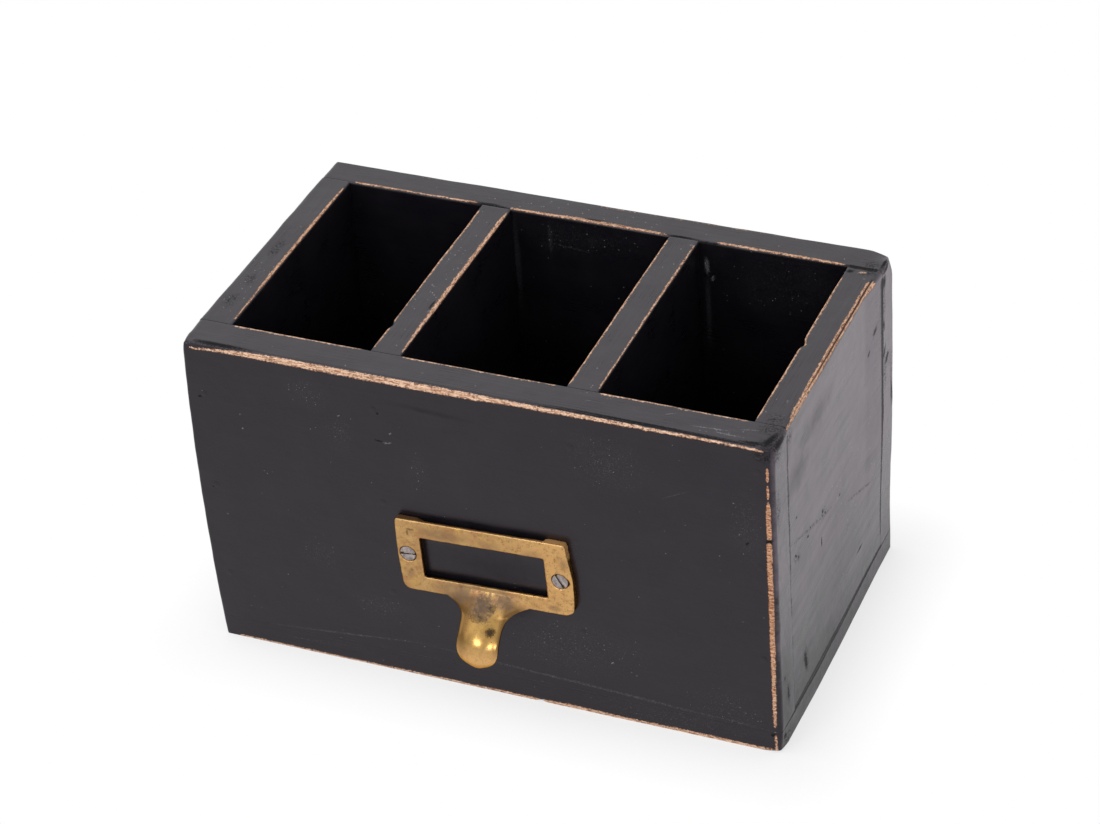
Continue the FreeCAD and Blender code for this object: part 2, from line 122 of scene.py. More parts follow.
class Wire:
    """An output socket of a node tree. Arithmetic on it adds Math nodes."""

    def __init__(self, tree, socket):
        self.tree = tree
        self.socket = socket

    @staticmethod
    def find(sockets, key):
        if isinstance(key, int):
            return sockets[key]
        for socket in sockets:
            if socket.identifier == key:
                return socket
        return sockets[key]

    @staticmethod
    def node(tree, kind, settings=None, inputs=None, output=0):
        """Add a node: its settings first, then the values or links of its sockets."""
        made = tree.nodes.new(kind)
        for name, value in (settings or {}).items():
            if name == "stops":
                fill_ramp(made.color_ramp, value)
            else:
                setattr(made, name, value)
        for key, value in (inputs or {}).items():
            socket = Wire.find(made.inputs, key)
            if isinstance(value, Wire):
                tree.links.new(value.socket, socket)
            else:
                socket.default_value = value
        return Wire(tree, Wire.find(made.outputs, output))

    def pick(self, name):
        """Another output of the same node."""
        return Wire(self.tree, Wire.find(self.socket.node.outputs, name))

    def maths(self, operation, *values, clamp=False):
        settings = {"operation": operation, "use_clamp": clamp}
        return Wire.node(self.tree, "ShaderNodeMath", settings, dict(enumerate(values)))

    __add__, __radd__ = operator("ADD"), operator("ADD", True)
    __sub__, __rsub__ = operator("SUBTRACT"), operator("SUBTRACT", True)
    __mul__, __rmul__ = operator("MULTIPLY"), operator("MULTIPLY", True)
    __truediv__, __pow__ = operator("DIVIDE"), operator("POWER")
    least, most = operator("MINIMUM"), operator("MAXIMUM")
    above = operator("GREATER_THAN")

    def __abs__(self):
        return self.maths("ABSOLUTE", self)

    def clamped(self):
        return self.maths("ADD", self, 0.0, clamp=True)


print("socket class ready")

# %% [markdown]
# ## Studio
#
# The photograph is lit softly from all round, in a white room: the gloss on each face
# is mostly a reflection of pale floor or backdrop. The world is therefore white for
# the camera and for reflections, and dimmer as a light. A Mix Shader chooses by the
# kind of ray.

# %% Make the white room
WORLD_LIGHT = 0.82
WHITE = (1.0, 1.0, 1.0, 1.0)


def mix_shader(share, first, second):
    return Wire.node(share.tree, "ShaderNodeMixShader", inputs={0: share, 1: first, 2: second})


def seen_directly(tree):
    """1 for camera, glossy and transmission rays, which show the white room."""
    path = Wire.node(tree, "ShaderNodeLightPath", output="Is Camera Ray")
    return path.most(path.pick("Is Glossy Ray")).most(path.pick("Is Transmission Ray"))


world = bpy.data.worlds.new("white_room")
world.use_nodes = True
scene.world = world
tree = world.node_tree
tree.nodes.clear()
dim, bright = (
    Wire.node(tree, "ShaderNodeBackground", inputs={"Color": WHITE, "Strength": strength})
    for strength in (WORLD_LIGHT, 1.0))
room = mix_shader(seen_directly(tree), dim, bright)
tree.links.new(room.socket, tree.nodes.new("ShaderNodeOutputWorld").inputs["Surface"])
print("world light:", WORLD_LIGHT)

# %% [markdown]
# Lamps make up the rest of the light. One wide lamp hangs overhead, and two small
# ones stand where the two bright spots on the brass tongue say that they were.

# %% Hang the lamps
def lamp(name, towards, distance, size, power):
    """A soft box, width by height, that looks at the box from the given direction."""
    data = bpy.data.lights.new(name, "AREA")
    data.shape = "RECTANGLE"
    data.size, data.size_y = size
    data.energy = power
    lamp_object = bpy.data.objects.new(name, data)
    direction = Vector(towards).normalized()
    centre = (cad_low + cad_high) / 2
    turned = (-direction).to_track_quat("-Z", "Y").to_matrix().to_4x4()
    lamp_object.matrix_world = Matrix.Translation(centre + direction * distance) @ turned
    scene.collection.objects.link(lamp_object)
    print(f"{name}: {power} W from {distance} m")


lamp("overhead_softbox", (-0.80, -0.15, 0.70), 1.5, (1.1, 1.1), 5.0)
lamp("left_softbox", (-0.32, -0.76, 0.57), 1.3, (0.34, 0.15), 1.8)
lamp("right_softbox", (0.27, -0.83, 0.49), 1.3, (0.17, 0.17), 1.3)

# %% [markdown]
# The floor has to carry the soft shadow near the box and fade to the room's plain
# white further off. It mixes a matt surface with a glowing one by the distance from
# the box.

# %% Lay the floor
FLOOR_SIZE = 6.0
FLOOR_GLOW = 0.62
FLOOR_FADE = 0.026
FLOOR_GREY = (0.92, 0.92, 0.93, 1.0)


def vector_maths(operation, first, second):
    settings = {"operation": operation}
    return Wire.node(first.tree, "ShaderNodeVectorMath", settings, {0: first, 1: second})


def length(vector):
    settings = {"operation": "LENGTH"}
    return Wire.node(vector.tree, "ShaderNodeVectorMath", settings, {0: vector}, "Value")


def new_material(name):
    """An empty material and its tree."""
    material = bpy.data.materials.new(name)
    material.use_nodes = True
    material.node_tree.nodes.clear()
    return material, material.node_tree


def finish_material(shader):
    output = shader.tree.nodes.new("ShaderNodeOutputMaterial")
    shader.tree.links.new(shader.socket, output.inputs["Surface"])


def floor_material():
    """Pale floor, matt near the box so that it shows the shadow, and plain white further off."""
    material, tree = new_material("pale_floor")
    place = Wire.node(tree, "ShaderNodeTexCoord", output="Object")
    outside = vector_maths("ABSOLUTE", place, (0, 0, 0))
    outside = vector_maths("SUBTRACT", outside, (cad_high.x, cad_high.y, 0))
    away = length(vector_maths("MAXIMUM", outside, (0, 0, 0))) / FLOOR_FADE
    share = (FLOOR_GLOW + away * (1.0 - FLOOR_GLOW)).clamped() * seen_directly(tree)
    matt = Wire.node(tree, "ShaderNodeBsdfDiffuse", inputs={"Color": FLOOR_GREY})
    white = Wire.node(tree, "ShaderNodeEmission", inputs={"Color": WHITE})
    finish_material(mix_shader(share, matt, white))
    return material


floor_mesh = bpy.data.meshes.new("floor")
half = FLOOR_SIZE / 2
corners = [(-half, -half, 0), (half, -half, 0), (half, half, 0), (-half, half, 0)]
floor_mesh.from_pydata(corners, [], [(0, 1, 2, 3)])
floor = bpy.data.objects.new("floor", floor_mesh)
floor.data.materials.append(floor_material())
scene.collection.objects.link(floor)
print("floor:", FLOOR_SIZE, "m wide")

# %% [markdown]
# ## Bare, dark and dusty places
#
# Rubbed paint is described the way a restorer would note it. Each strip says between
# which two faces it runs, how far its middle usually lies from their edge, and its
# tone: 0 for pale fresh wood, 1 for dark old wood. Then come its stops, each with the
# place along the edge and half the strip's width, and with the middle where that
# differs. All sizes are in millimetres. A minus sign means on the first face, and a
# plus sign on the second.

# %% Describe the worn edges
BARE = {
    "front_board": [
        ({"y": -54, "z": 115}, -2.4, 0.12, [(-95, 0), (-93, 0.22), (-86, 0.35, -1.9),
            (-78, 0.75, -1.3), (-68, 1.1, -1.05), (-20, 1.25, -1), (2, 1.15, -0.9),
            (10, 0.8, -0.75), (30, 0.72, -0.7), (50, 0.6, -0.65), (70, 0.5, -0.6),
            (86, 0.4, -0.8), (91, 0.25, -1.1), (92.5, 0, -1.2)]),
        ({"y": -54, "x": 95}, -2, 0.85, [(1, 0, -1.9), (3, 0.25, -1.9), (7, 0.3, -1.9),
            (9, 0, -1.9), (12, 0.45, -1.9), (25, 0.6, -1.9), (40, 0.75, -1.95), (60, 0.8),
            (80.4, 0.85), (80.7, 0), (81.7, 0), (82, 0.75), (92, 0.7, -2.05), (95, 0.45),
            (96.4, 0.05), (98, 0.35), (101, 0.3), (102.4, 0), (104, 0.4), (107.5, 0.3),
            (108.6, 0)]),
        ({"y": -42, "z": 115}, 0.4, 0.05, [(-85, 0, 0.5), (-82, 0.26, 0.5), (-42, 0.2), (-39, 0),
            (-28, 0), (-26, 0.3, 0.5), (-10, 0.16), (22, 0.16), (25, 0), (36, 0), (38, 0.24, 0.5),
            (60, 0.14), (82, 0.2), (85, 0)]),
    ],
    "back_board": [
        ({"y": 44, "z": 115}, 0.8, 0.4, [(-85, 0), (-80, 0.35), (-60, 0.2, 0.7), (-41, 0.4),
            (-39, 0), (-29, 0), (-27, 0.35, 0.6), (-14, 0.5), (-6, 0.7, 1.1), (8, 0.75, 1.1),
            (14, 0.5, 0.9), (23, 0.4, 0.7), (26, 0, 0.7), (41, 0), (44, 0.4), (70, 0.5, 0.7),
            (82, 0.4, 0.5), (85, 0, 0.5)]),
        ({"y": 54, "z": 115}, -0.6, 0.4, [(-90, 0), (-70, 0.45), (-20, 0.2), (0, 0.4), (50, 0.5),
            (75, 0.15), (92, 0)]),
        ({"y": 54, "x": -95}, -0.8, 0.4, [(6, 0), (15, 0.4), (60, 0.5), (90, 0.3), (108, 0)]),
    ],
    "left_side": [
        ({"x": -85, "z": 115}, 0.4, 0.6, [(-42, 0), (-38, 0.16), (-28, 0.2), (-24, 0.12),
            (-19, 0.4, 0.6), (10, 0.42, 0.6), (36, 0.34, 0.5), (43, 0, 0.5)]),
    ],
    "left_divider": [
        ({"x": -38, "z": 115}, 0.3, 0.4, [(-42, 0), (-38, 0.25), (-30, 0.28), (-28.6, 0),
            (-26, 0), (-25, 0.25), (0, 0.3), (38, 0.3), (43, 0)]),
        ({"x": -28, "z": 115}, 0.3, 0.4, [(-42, 0), (-38, 0.25), (-30, 0.45, 0.45),
            (-10, 0.6, 0.5), (10, 0.65, 0.55), (38, 0.6, 0.5), (43, 0, 0.4)]),
    ],
    "right_divider": [
        ({"x": 26, "z": 115}, 0.2, 0.4, [(-42, 0), (-39, 0.28, 0.25), (0, 0.32, 0.3),
            (40, 0.3, 0.25), (43, 0)]),
        ({"x": 36, "z": 115}, 0.3, 0.4, [(-42, 0), (-40, 0.13), (-20, 0.13, 0.35), (-8, 0.2, 0.4),
            (10, 0.26, 0.4), (24, 0.2, 0.4), (41, 0.13), (43, 0)]),
    ],
    "right_side": [
        ({"x": 85, "z": 115}, 0.3, 0.4, [(-42, 0, 0.25), (-39, 0.25), (-2, 0.35), (0, 0.5, 0.9),
            (2, 0.35), (34, 0.3), (40, 0)]),
        ({"x": 95, "z": 115}, -0.4, 0.35, [(-43, 0, -0.7), (-41, 0.45, -0.6), (-30, 0.62),
            (-24, 0.55), (0, 0.42), (32, 0.4), (36, 0.5), (38, 0.35, -0.5), (39.5, 0, -0.6)]),
        ({"y": 44, "z": 115}, 2, 0.2, [(89.4, 0, 2.2), (90, 0.4, 2.2), (91.4, 0.35), (92, 0)]),
        ({"x": 95, "z": 115}, 1.1, 0.5, [(-39, 0, 0.5), (-33, 0.4, 0.6), (-20, 0.42, 0.85),
            (-8, 0.42, 1), (10, 0.28), (30, 0.32), (36, 0.4), (38, 0)]),
    ],
    "base_board": [
        ({"y": -54, "z": 0}, -0.5, 0.5, [(-94, 0, -0.4), (-88, 0.2, -0.4), (-40, 0.25, -0.4),
            (8, 0.45), (14.4, 0.5), (14.8, 0), (15.6, 0), (16, 0.6), (30, 0.75, -0.6), (44, 0.5),
            (70, 0.7, -0.6), (86, 0.5, -0.6), (93, 0.2, -0.8), (94, 0, -0.8)]),
        ({"y": -54, "x": 95}, -1.8, 0.85, [(0.4, 0, -1.6), (1.5, 0.35, -1.6), (6, 0.3),
            (7.6, 0)]),
        ({"y": 54, "z": 0}, -0.4, 0.75, [(-80, 0), (-50, 0.4), (20, 0.2), (80, 0)]),
    ],
}
print("worn edges:", sum(len(strips) for strips in BARE.values()))

# %% [markdown]
# Joints and the crack along the right side's top edge show as dark lines. They are
# noted like the worn edges, and here the third value says how faint the line is.

# %% Describe the dark lines
DARK = {
    "right_side": [
        ({"x": 95, "z": 115}, 0.35, 0, [(-26, 0, 0.2), (-20, 0.16, 0.25), (0, 0.28, 0.3),
            (34, 0.3), (38, 0.26), (40, 0, 0.4)]),
        ({"y": 44, "z": 115}, 0.3, 0, [(84, 0, 0), (86, 0.5, 0.2), (94, 0.6), (95, 0)]),
        ({"x": 95, "y": 44}, 0.8, 0.2, [(10, 0, -0.3), (20, 0.4, -0.2), (42, 0.4, 0.2),
            (54, 0.5, 0.6), (61, 0.8), (74, 0.7, 0.9), (84, 0.9), (95, 0.8), (104, 0.9),
            (111, 1.1), (113, 0)]),
        ({"x": 95, "y": -42}, -0.2, 0.4, [(30, 0), (34, 0.2), (41, 0.02), (48, 0.22), (56, 0),
            (64, 0.22), (78, 0.25), (83, 0.05), (92, 0.28), (100, 0.1), (111, 0.3), (113, 0)]),
        ({"x": 95, "z": 8}, -0.6, 0.45, [(-42, 0.7), (-30, 0.8, -0.7), (0, 0.7), (30, 0.6, -0.5),
            (44, 0.4, -0.3)]),
    ],
    "back_board": [
        ({"x": 95, "y": 44}, 0.8, 0, [(10, 0, -0.2), (48, 0.3, 0.4), (56, 0.6, 0.7), (90, 0.5),
            (104, 0.7), (111, 0.9), (113, 0)]),
        ({"y": 44, "z": 115}, 0.2, 0, [(-44, 0), (-42, 0.5), (-31, 0.5), (-28, 0), (25, 0),
            (27, 0.35, 0.1), (37, 0.35, 0.1), (42, 0.5, 0.1), (43, 0, 0.1), (83, 0),
            (86, 0.5, 0.3), (94, 0.6, 0.3), (95, 0, 0.3)]),
    ],
    "front_board": [
        ({"y": -54, "z": 115}, 0.6, 0, [(18, 0), (24, 0.2), (50, 0.3), (88, 0.35), (91, 0)]),
        ({"x": 95, "y": -42}, -0.2, 0, [(30, 0), (38, 0.1), (66, 0.15), (90, 0.25), (111, 0.25),
            (113, 0)]),
    ],
    "base_board": [
        ({"x": 95, "z": 8}, -0.2, 0.5, [(-54, 0), (-42, 0.5, -0.3), (0, 0.5, -0.3), (44, 0.4),
            (54, 0)]),
    ],
}
print("dark lines:", sum(len(strips) for strips in DARK.values()))

# %% [markdown]
# Small marks are noted by board and face: the middle, the two half sizes in millimetres, and the
# turn in degrees where there is one. Dark ones are dents and holes, pale ones are scratches, and
# faint ones are scratches that hardly show. Dust gathers specks. Shade takes the gloss off a broad
# patch and darkens it: it is painted shade in recesses and low down, and it also makes a few
# darker smudges. Crumbled paint breaks up into small dark and pale bits.

# %% Describe the small marks
MARK_FACES = {"front": ("y", -54), "right": ("x", 95), "back end": ("x", 96),
              "rim": ("z", 115), "bay back": ("y", 44)}
MARKS = {
    ("front_board", "front"): {
        "dark": [(-32, 90.7, 1.8, 0.35, -4), (-31.6, 101, 0.55, 0.5), (-92.6, 94.6, 0.7, 0.5, 20),
            (-92.2, 60, 0.5, 0.4), (90.2, 70.4, 0.6, 0.5), (89.4, 106, 0.8, 0.6, 30),
            (92.8, 81.2, 1.3, 0.7, 10), (86, 79, 0.9, 0.4, 50)],
        "pale": [(-30, 90.3, 0.8, 0.4), (-28.6, 90.6, 0.8, 0.35, 15), (-28, 94.2, 0.6, 0.3, 50),
            (-79, 85.2, 0.4, 0.25), (-79.2, 90.4, 0.35, 0.25), (82.2, 93.2, 0.3, 0.3),
            (-88.6, 50, 0.35, 0.3), (40.4, 22, 0.6, 0.4, 30), (48.4, 19, 0.5, 0.35, 60),
            (-45, 97.2, 0.5, 0.2, 30), (-84.5, 14, 0.3, 0.3)],
        "faint": [(35, 10.8, 60, 0.5, -2.4), (-49, 11, 28, 0.35, 5.6), (64, 92, 5, 0.2, 28)],
        "dust": [(42, 99, 15, 13, 12), (-55, 103, 9, 7, -10), (-46, 91, 6, 8), (-20, 80, 5, 9),
            (-57, 41, 8, 6), (-37, 25, 12, 6), (26, 25, 28, 13, 4), (78, 12, 16, 11),
            (86, 84, 6, 16), (35, 10.8, 62, 1, -2.4), (-49, 11, 30, 0.8, 5.6)],
        # Painted shade in the card window's recess, and a smudge under the rim.
        "shade": [(0.3, 50.6, 26, 8), (-14, 105.2, 16, 1.4, -3)],
        "crumbled": [(91.6, 112, 4.2, 3), (93, 82, 2, 1.2), (90.5, 70.5, 1.2, 1)]},
    ("front_board", "right"): {
        "dark": [(-47, 19, 0.8, 4, 4), (-49.6, 26.5, 0.6, 1.2), (-48.5, 113.4, 6, 1.8)],
        "pale": [(-48.4, 47, 0.4, 0.5)],
        "shade": [(-49, 20, 7, 26)],
        "crumbled": [(-50, 111, 4.5, 3.4), (-47, 19, 2.4, 7, 4), (-51, 92, 2, 10)]},
    ("front_board", "rim"): {
        "dark": [(-84, -53.1, 13, 1), (52, -52.6, 36, 0.5), (92.4, -49.6, 1.4, 5.5, -15),
            (88, -52.2, 5, 0.9, 4)],
        "pale": [(74, -49, 6, 0.25, 4), (80, -50.4, 5, 0.3, -3), (60, -46, 2, 0.2, 30),
            (85, -46.5, 3, 0.2, 12), (35, -47, 0.9, 0.2, 20), (-18, -48.5, 0.5, 0.3)],
        "dust": [(80, -48, 14, 4, 10), (36, -43.5, 10, 2)],
        "crumbled": [(91, -44, 4.5, 4, 10), (92, -51.5, 4, 3)]},
    ("right_side", "right"): {
        "dark": [(-12, 62.8, 1.3, 0.8, -50), (-9.6, 60.6, 1.1, 0.5, -60),
            (-26, 63.4, 1.1, 0.6, -20), (-13.4, 52, 0.55, 2.2), (-37, 64, 1.5, 0.5, -45),
            (-34.6, 62, 1, 0.5, -45), (4, 57.6, 1, 0.5), (-35.6, 77.4, 0.9, 0.5, -30),
            (22.4, 23.2, 3.2, 0.6), (38, 96.6, 2.4, 1.2, 30), (33, 91.4, 1.6, 0.6, 40),
            (-31, 19, 1.6, 5, 12)],
        "pale": [(3.2, 87, 5.4, 0.5), (6.5, 85.4, 2.4, 0.3, 4), (18, 42.5, 2.4, 0.3, -30),
            (20.3, 84.9, 2, 0.3)],
        "dust": [(5, 60, 45, 40)],
        # Painted shade low on the side and along the base seam, and darker smudges higher up.
        "shade": [(-20, 6, 60, 20, -6), (-18, 101, 20, 5.5, 6), (-33, 93, 12, 8, 10),
            (0, 8, 80, 2.2)],
        "crumbled": [(-21.5, 64.2, 26, 0.9, -18.6), (24, 45, 16, 0.8, -20), (-31, 20, 3, 8, 12),
            (-11, 61.6, 3, 2.6, -40), (-36, 62.6, 4, 2, -30), (-40, 110, 3, 4),
            (42.6, 100, 1.4, 13)]},
    ("right_side", "rim"): {
        "dark": [(86.6, 41.5, 1.6, 1, 20)],
        "pale": [(90, 41.4, 1.1, 0.5), (92, 38.6, 0.5, 0.3), (91, -30, 0.3, 1.2, 10)],
        "dust": [(90, -36, 5, 8)],
        "crumbled": [(90.5, -39.5, 3.6, 4, 20), (92, 42, 3.6, 2.2)]},
    ("back_board", "back end"): {
        "dark": [(49, 113.6, 6, 1.3), (46, 110, 2, 3), (48.6, 80, 2.6, 2.2, 30), (53, 64, 0.8, 6),
            (46, 84, 0.9, 3, -20), (45.6, 94, 0.8, 2.4)],
        "crumbled": [(46.5, 76, 2.2, 9), (52.6, 70, 1.6, 12), (45.4, 102, 2.2, 11)]},
    ("back_board", "bay back"): {
        "pale": [(38.4, 106, 1, 3.4, 4), (40.2, 101.6, 0.7, 1.3, -20)],
        "faint": [(-27, 95, 1.2, 19), (-8, 104, 7, 0.3, -6), (-15, 106, 0.8, 6),
            (38.4, 90, 1.1, 16)],
        "dust": [(-5, 108, 30, 8), (60, 104, 26, 14)]},
    ("back_board", "rim"): {
        "dark": [(-36, 45, 6, 0.7), (30, 44.8, 5, 0.6), (0, 46, 4, 0.5, 5), (95.3, 49, 0.7, 5)],
        "dust": [(-10, 49, 60, 4)],
        "crumbled": [(92, 46.5, 3, 2.6), (-34, 44.6, 7, 1.2), (4, 45.6, 12, 1)]},
    ("left_side", "rim"): {
        "dust": [(-90, -20, 5, 22)],
        "crumbled": [(-90.5, 1, 2.4, 6), (-90.8, -17, 2.2, 4, 10), (-91, -30, 3, 5)]},
    ("left_divider", "rim"): {
        "dark": [(-37.6, -27.2, 0.8, 1.6), (-30, -14, 0.5, 3)],
        "pale": [(-29.6, -17.6, 0.35, 0.9), (-29.2, -23.8, 0.5, 0.5), (-38, -29, 0.3, 0.5),
            (-34, -4, 1.2, 0.2, -30)],
        "dust": [(-33, 0, 5, 40)]},
    ("base_board", "right"): {
        "dark": [(-51, 5, 1.4, 1.6)],
        # Painted shade over the base's end strip.
        "shade": [(0, 2, 90, 12)],
        "crumbled": [(-48, 3, 6, 4)]},
    ("base_board", "front"): {
        "dark": [(92.4, 6.8, 1, 0.8)],
        "dust": [(60, 5, 34, 5), (-60, 5, 22, 0.8, 4)]},
    ("right_divider", "rim"): {
        "pale": [(35.2, 30, 0.5, 0.8), (34.6, 41, 0.9, 0.4)],
        "dust": [(34, 30, 4, 16), (33, -34, 4, 10)]},
}
print("faces with marks:", len(MARKS))

# %% [markdown]
# ## Brushed black paint over warm wood
#
# The paint is nearly black and half glossy, and the wood under it is pale pine, browner where it
# has been bare for long. Colours that were judged are given as they look on screen, and turned
# into the linear values that a shader wants.

# %% Choose the colours
def screen(red, green, blue):
    """A colour as it looks on screen, 0 to 255, in the linear values of a shader."""
    linear = [((c / 255 + 0.055) / 1.055) ** 2.4 if c > 10 else c / 255 / 12.92
              for c in (red, green, blue)]
    return (*linear, 1.0)


PAINT = (0.0050, 0.0044, 0.0066, 1.0)
PAINT_LIGHT = (0.0100, 0.0088, 0.0116, 1.0)
# Painted sheen of the right-hand faces.
SIDE_SHEEN = (0.117, 0.096, 0.114, 1.0)
# Near-black matt for cracks and dark lines, also used for painted shade.
CRACK_AND_SHADE = (0.0030, 0.0026, 0.0028, 1.0)
# Grey of dust, also used as painted sheen on the top faces.
DUST_AND_SHEEN = (0.16, 0.16, 0.17, 1.0)
SPECK = (0.32, 0.31, 0.33, 1.0)
SCRATCH = (0.24, 0.24, 0.25, 1.0)
GLOSS_TINT = (1.0, 0.88, 1.0, 1.0)
WOOD_PALE = screen(240, 205, 176)
WOOD_SAND = screen(204, 148, 114)
WOOD_ORANGE = screen(212, 158, 120)
WOOD_BROWN = screen(150, 94, 62)
WOOD_FLECK = screen(96, 56, 36)
RIM_BROWN = screen(128, 80, 50)
print("palest wood:", [round(value, 3) for value in WOOD_PALE])

# %% [markdown]
# Everything on the surface is measured in the object's own millimetres, so a pattern
# stays put on the finished piece and has the size of the real one. Noise gives clouds
# and brush lines, Voronoi cells give scattered specks, and a Bump node turns a height
# into a bent normal.

# %% Measure and scatter
def scaled(vector, factor):
    settings = {"operation": "SCALE"}
    return Wire.node(vector.tree, "ShaderNodeVectorMath", settings, {0: vector, "Scale": factor})


def in_mm(tree):
    """The object's own coordinates in millimetres."""
    return scaled(Wire.node(tree, "ShaderNodeTexCoord", output="Object"), 1 / MM)


def split(vector):
    """The three parts of a vector, by the names of the axes."""
    parts = Wire.node(vector.tree, "ShaderNodeSeparateXYZ", inputs={0: vector})
    return {axis: parts.pick(axis.upper()) for axis in AXES}


def cloud(vector, scale, detail=2.0, roughness=0.5):
    """Noise from 0 to 1. The scale is in lumps per unit, and may differ by axis."""
    stretch = (scale, scale, scale) if isinstance(scale, float) else scale
    moved = vector_maths("MULTIPLY", vector, stretch)
    return Wire.node(vector.tree, "ShaderNodeTexNoise", inputs={
        "Vector": moved, "Scale": 1.0, "Detail": detail, "Roughness": roughness})


def scattered(point, scale):
    """How far the nearest of many scattered points is, and its own random colour."""
    cells = Wire.node(point.tree, "ShaderNodeTexVoronoi", inputs={
        "Vector": point, "Scale": scale})
    return cells, Wire.node(point.tree, "ShaderNodeSeparateColor", inputs={
        "Color": cells.pick("Color")})


def uneven(height):
    """A normal bent by a height in millimetres."""
    return Wire.node(height.tree, "ShaderNodeBump", inputs={
        "Height": height, "Distance": MM, "Strength": 1.0}, output="Normal")


def mix_colour(share, first, second):
    return Wire.node(
        share.tree, "ShaderNodeMix", {"data_type": "RGBA"},
        {"Factor_Float": share, "A_Color": first, "B_Color": second}, "Result_Color")


def surface(colour, roughness, normal, more):
    """The general shader, with further sockets by name."""
    return Wire.node(normal.tree, "ShaderNodeBsdfPrincipled", inputs={
        "Base Color": colour, "Roughness": roughness, "Normal": normal, **more}, output="BSDF")


print("patterns are measured in units of", MM, "m")

# %% [markdown]
# A worn edge is found from the distances to its two faces: their difference tells how
# far a point lies on one side of the edge or the other. A colour ramp along the edge
# holds the strip's width in red and its middle in green.

# %% Find the strips
STRIP_REACH = 4.0
NEAR_EDGE = 2.4


def strips_on(place, strips, wander):
    """Depth inside the nearest strip in millimetres, its lower side and its tone."""
    depth = place["x"] * 0.0
    lower = tone = depth
    for faces, usual, strip_tone, stops in strips:
        (axis_a, at_a), (axis_b, at_b) = faces.items()
        run = (set(AXES) - set(faces)).pop()
        first, last = stops[0][0], stops[-1][0]
        ramp_stops = []
        for at, half_width, *middle in stops:
            offset = (middle[0] if middle else usual) / STRIP_REACH / 2 + 0.5
            ramp_stops.append(((at - first) / (last - first),
                               (half_width / STRIP_REACH, offset, 0.0, 1.0)))
        along = (place[run] - first) / (last - first)
        ramp = Wire.node(along.tree, "ShaderNodeValToRGB", {"stops": ramp_stops}, {"Fac": along})
        parts = Wire.node(along.tree, "ShaderNodeSeparateColor", inputs={"Color": ramp})
        half_width = parts.pick("Red") * STRIP_REACH
        middle = (parts.pick("Green") - 0.5) * (2 * STRIP_REACH)
        from_a = abs(place[axis_a] - at_a)
        from_b = abs(place[axis_b] - at_b)
        signed = from_a - from_b - middle - wander
        near = ((NEAR_EDGE - from_a.least(from_b)) * 4.0).clamped()
        there = (half_width * 8.0).clamped() * near
        this = (half_width - abs(signed) + STRIP_REACH) * there
        below = there * (0.0 - signed).above(0.0)
        nearer = this.above(depth)
        depth = depth.most(this)
        lower = lower.most(below)
        tone = tone * (1.0 - nearer) + nearer * strip_tone
    return depth - STRIP_REACH, lower, tone * (place["z"] / 70.0 + 0.3).clamped()


print("strips reach", STRIP_REACH, "mm")

# %% [markdown]
# A mark is a turned ellipse. A Mapping node moves, turns and shrinks the space so
# that the ellipse becomes a ball of radius 1, and the distance from its middle says
# what is inside.

# %% Find the marks
MARK_DEPTH = 1.5


def marks_on(point, face, marks, ragged, sharpness):
    """Union of turned ellipses on one face: 1 inside, 0 outside."""
    axis, level = MARK_FACES[face]
    across = [other for other in AXES if other != axis]
    nearest = None
    for u, v, half_u, half_v, *turn in marks:
        middle = {axis: level, across[0]: u, across[1]: v}
        size = {axis: MARK_DEPTH, across[0]: half_u, across[1]: half_v}
        degrees = turn[0] if turn else 0.0
        turned = radians(-degrees if axis == "y" else degrees)
        local = Wire.node(point.tree, "ShaderNodeMapping", {"vector_type": "TEXTURE"}, {
            "Vector": point, "Location": [middle[a] for a in AXES],
            "Rotation": [turned if a == axis else 0.0 for a in AXES],
            "Scale": [size[a] for a in AXES]})
        away = length(local)
        nearest = away if nearest is None else nearest.least(away)
    return ((1.0 - nearest + ragged) * sharpness).clamped()


print("marks go", MARK_DEPTH, "mm deep")

# %% [markdown]
# Fine brush lines run along each board. Where an edge is rubbed, the material switches to bare
# pine, with a ragged border and a thin burnt rim of old stain. Specks of dust lie all over. The
# right-hand faces are painted a paler, reddish black as painted sheen, paler higher up. The tops
# are mixed towards grey as settled dust and painted sheen. One function makes the paint for any
# board, because only the tables and the way of the grain differ.

# %% Make the paint
BORDER_SHARPNESS = 5.0
SHADE = 0.30
FAINT = 0.16


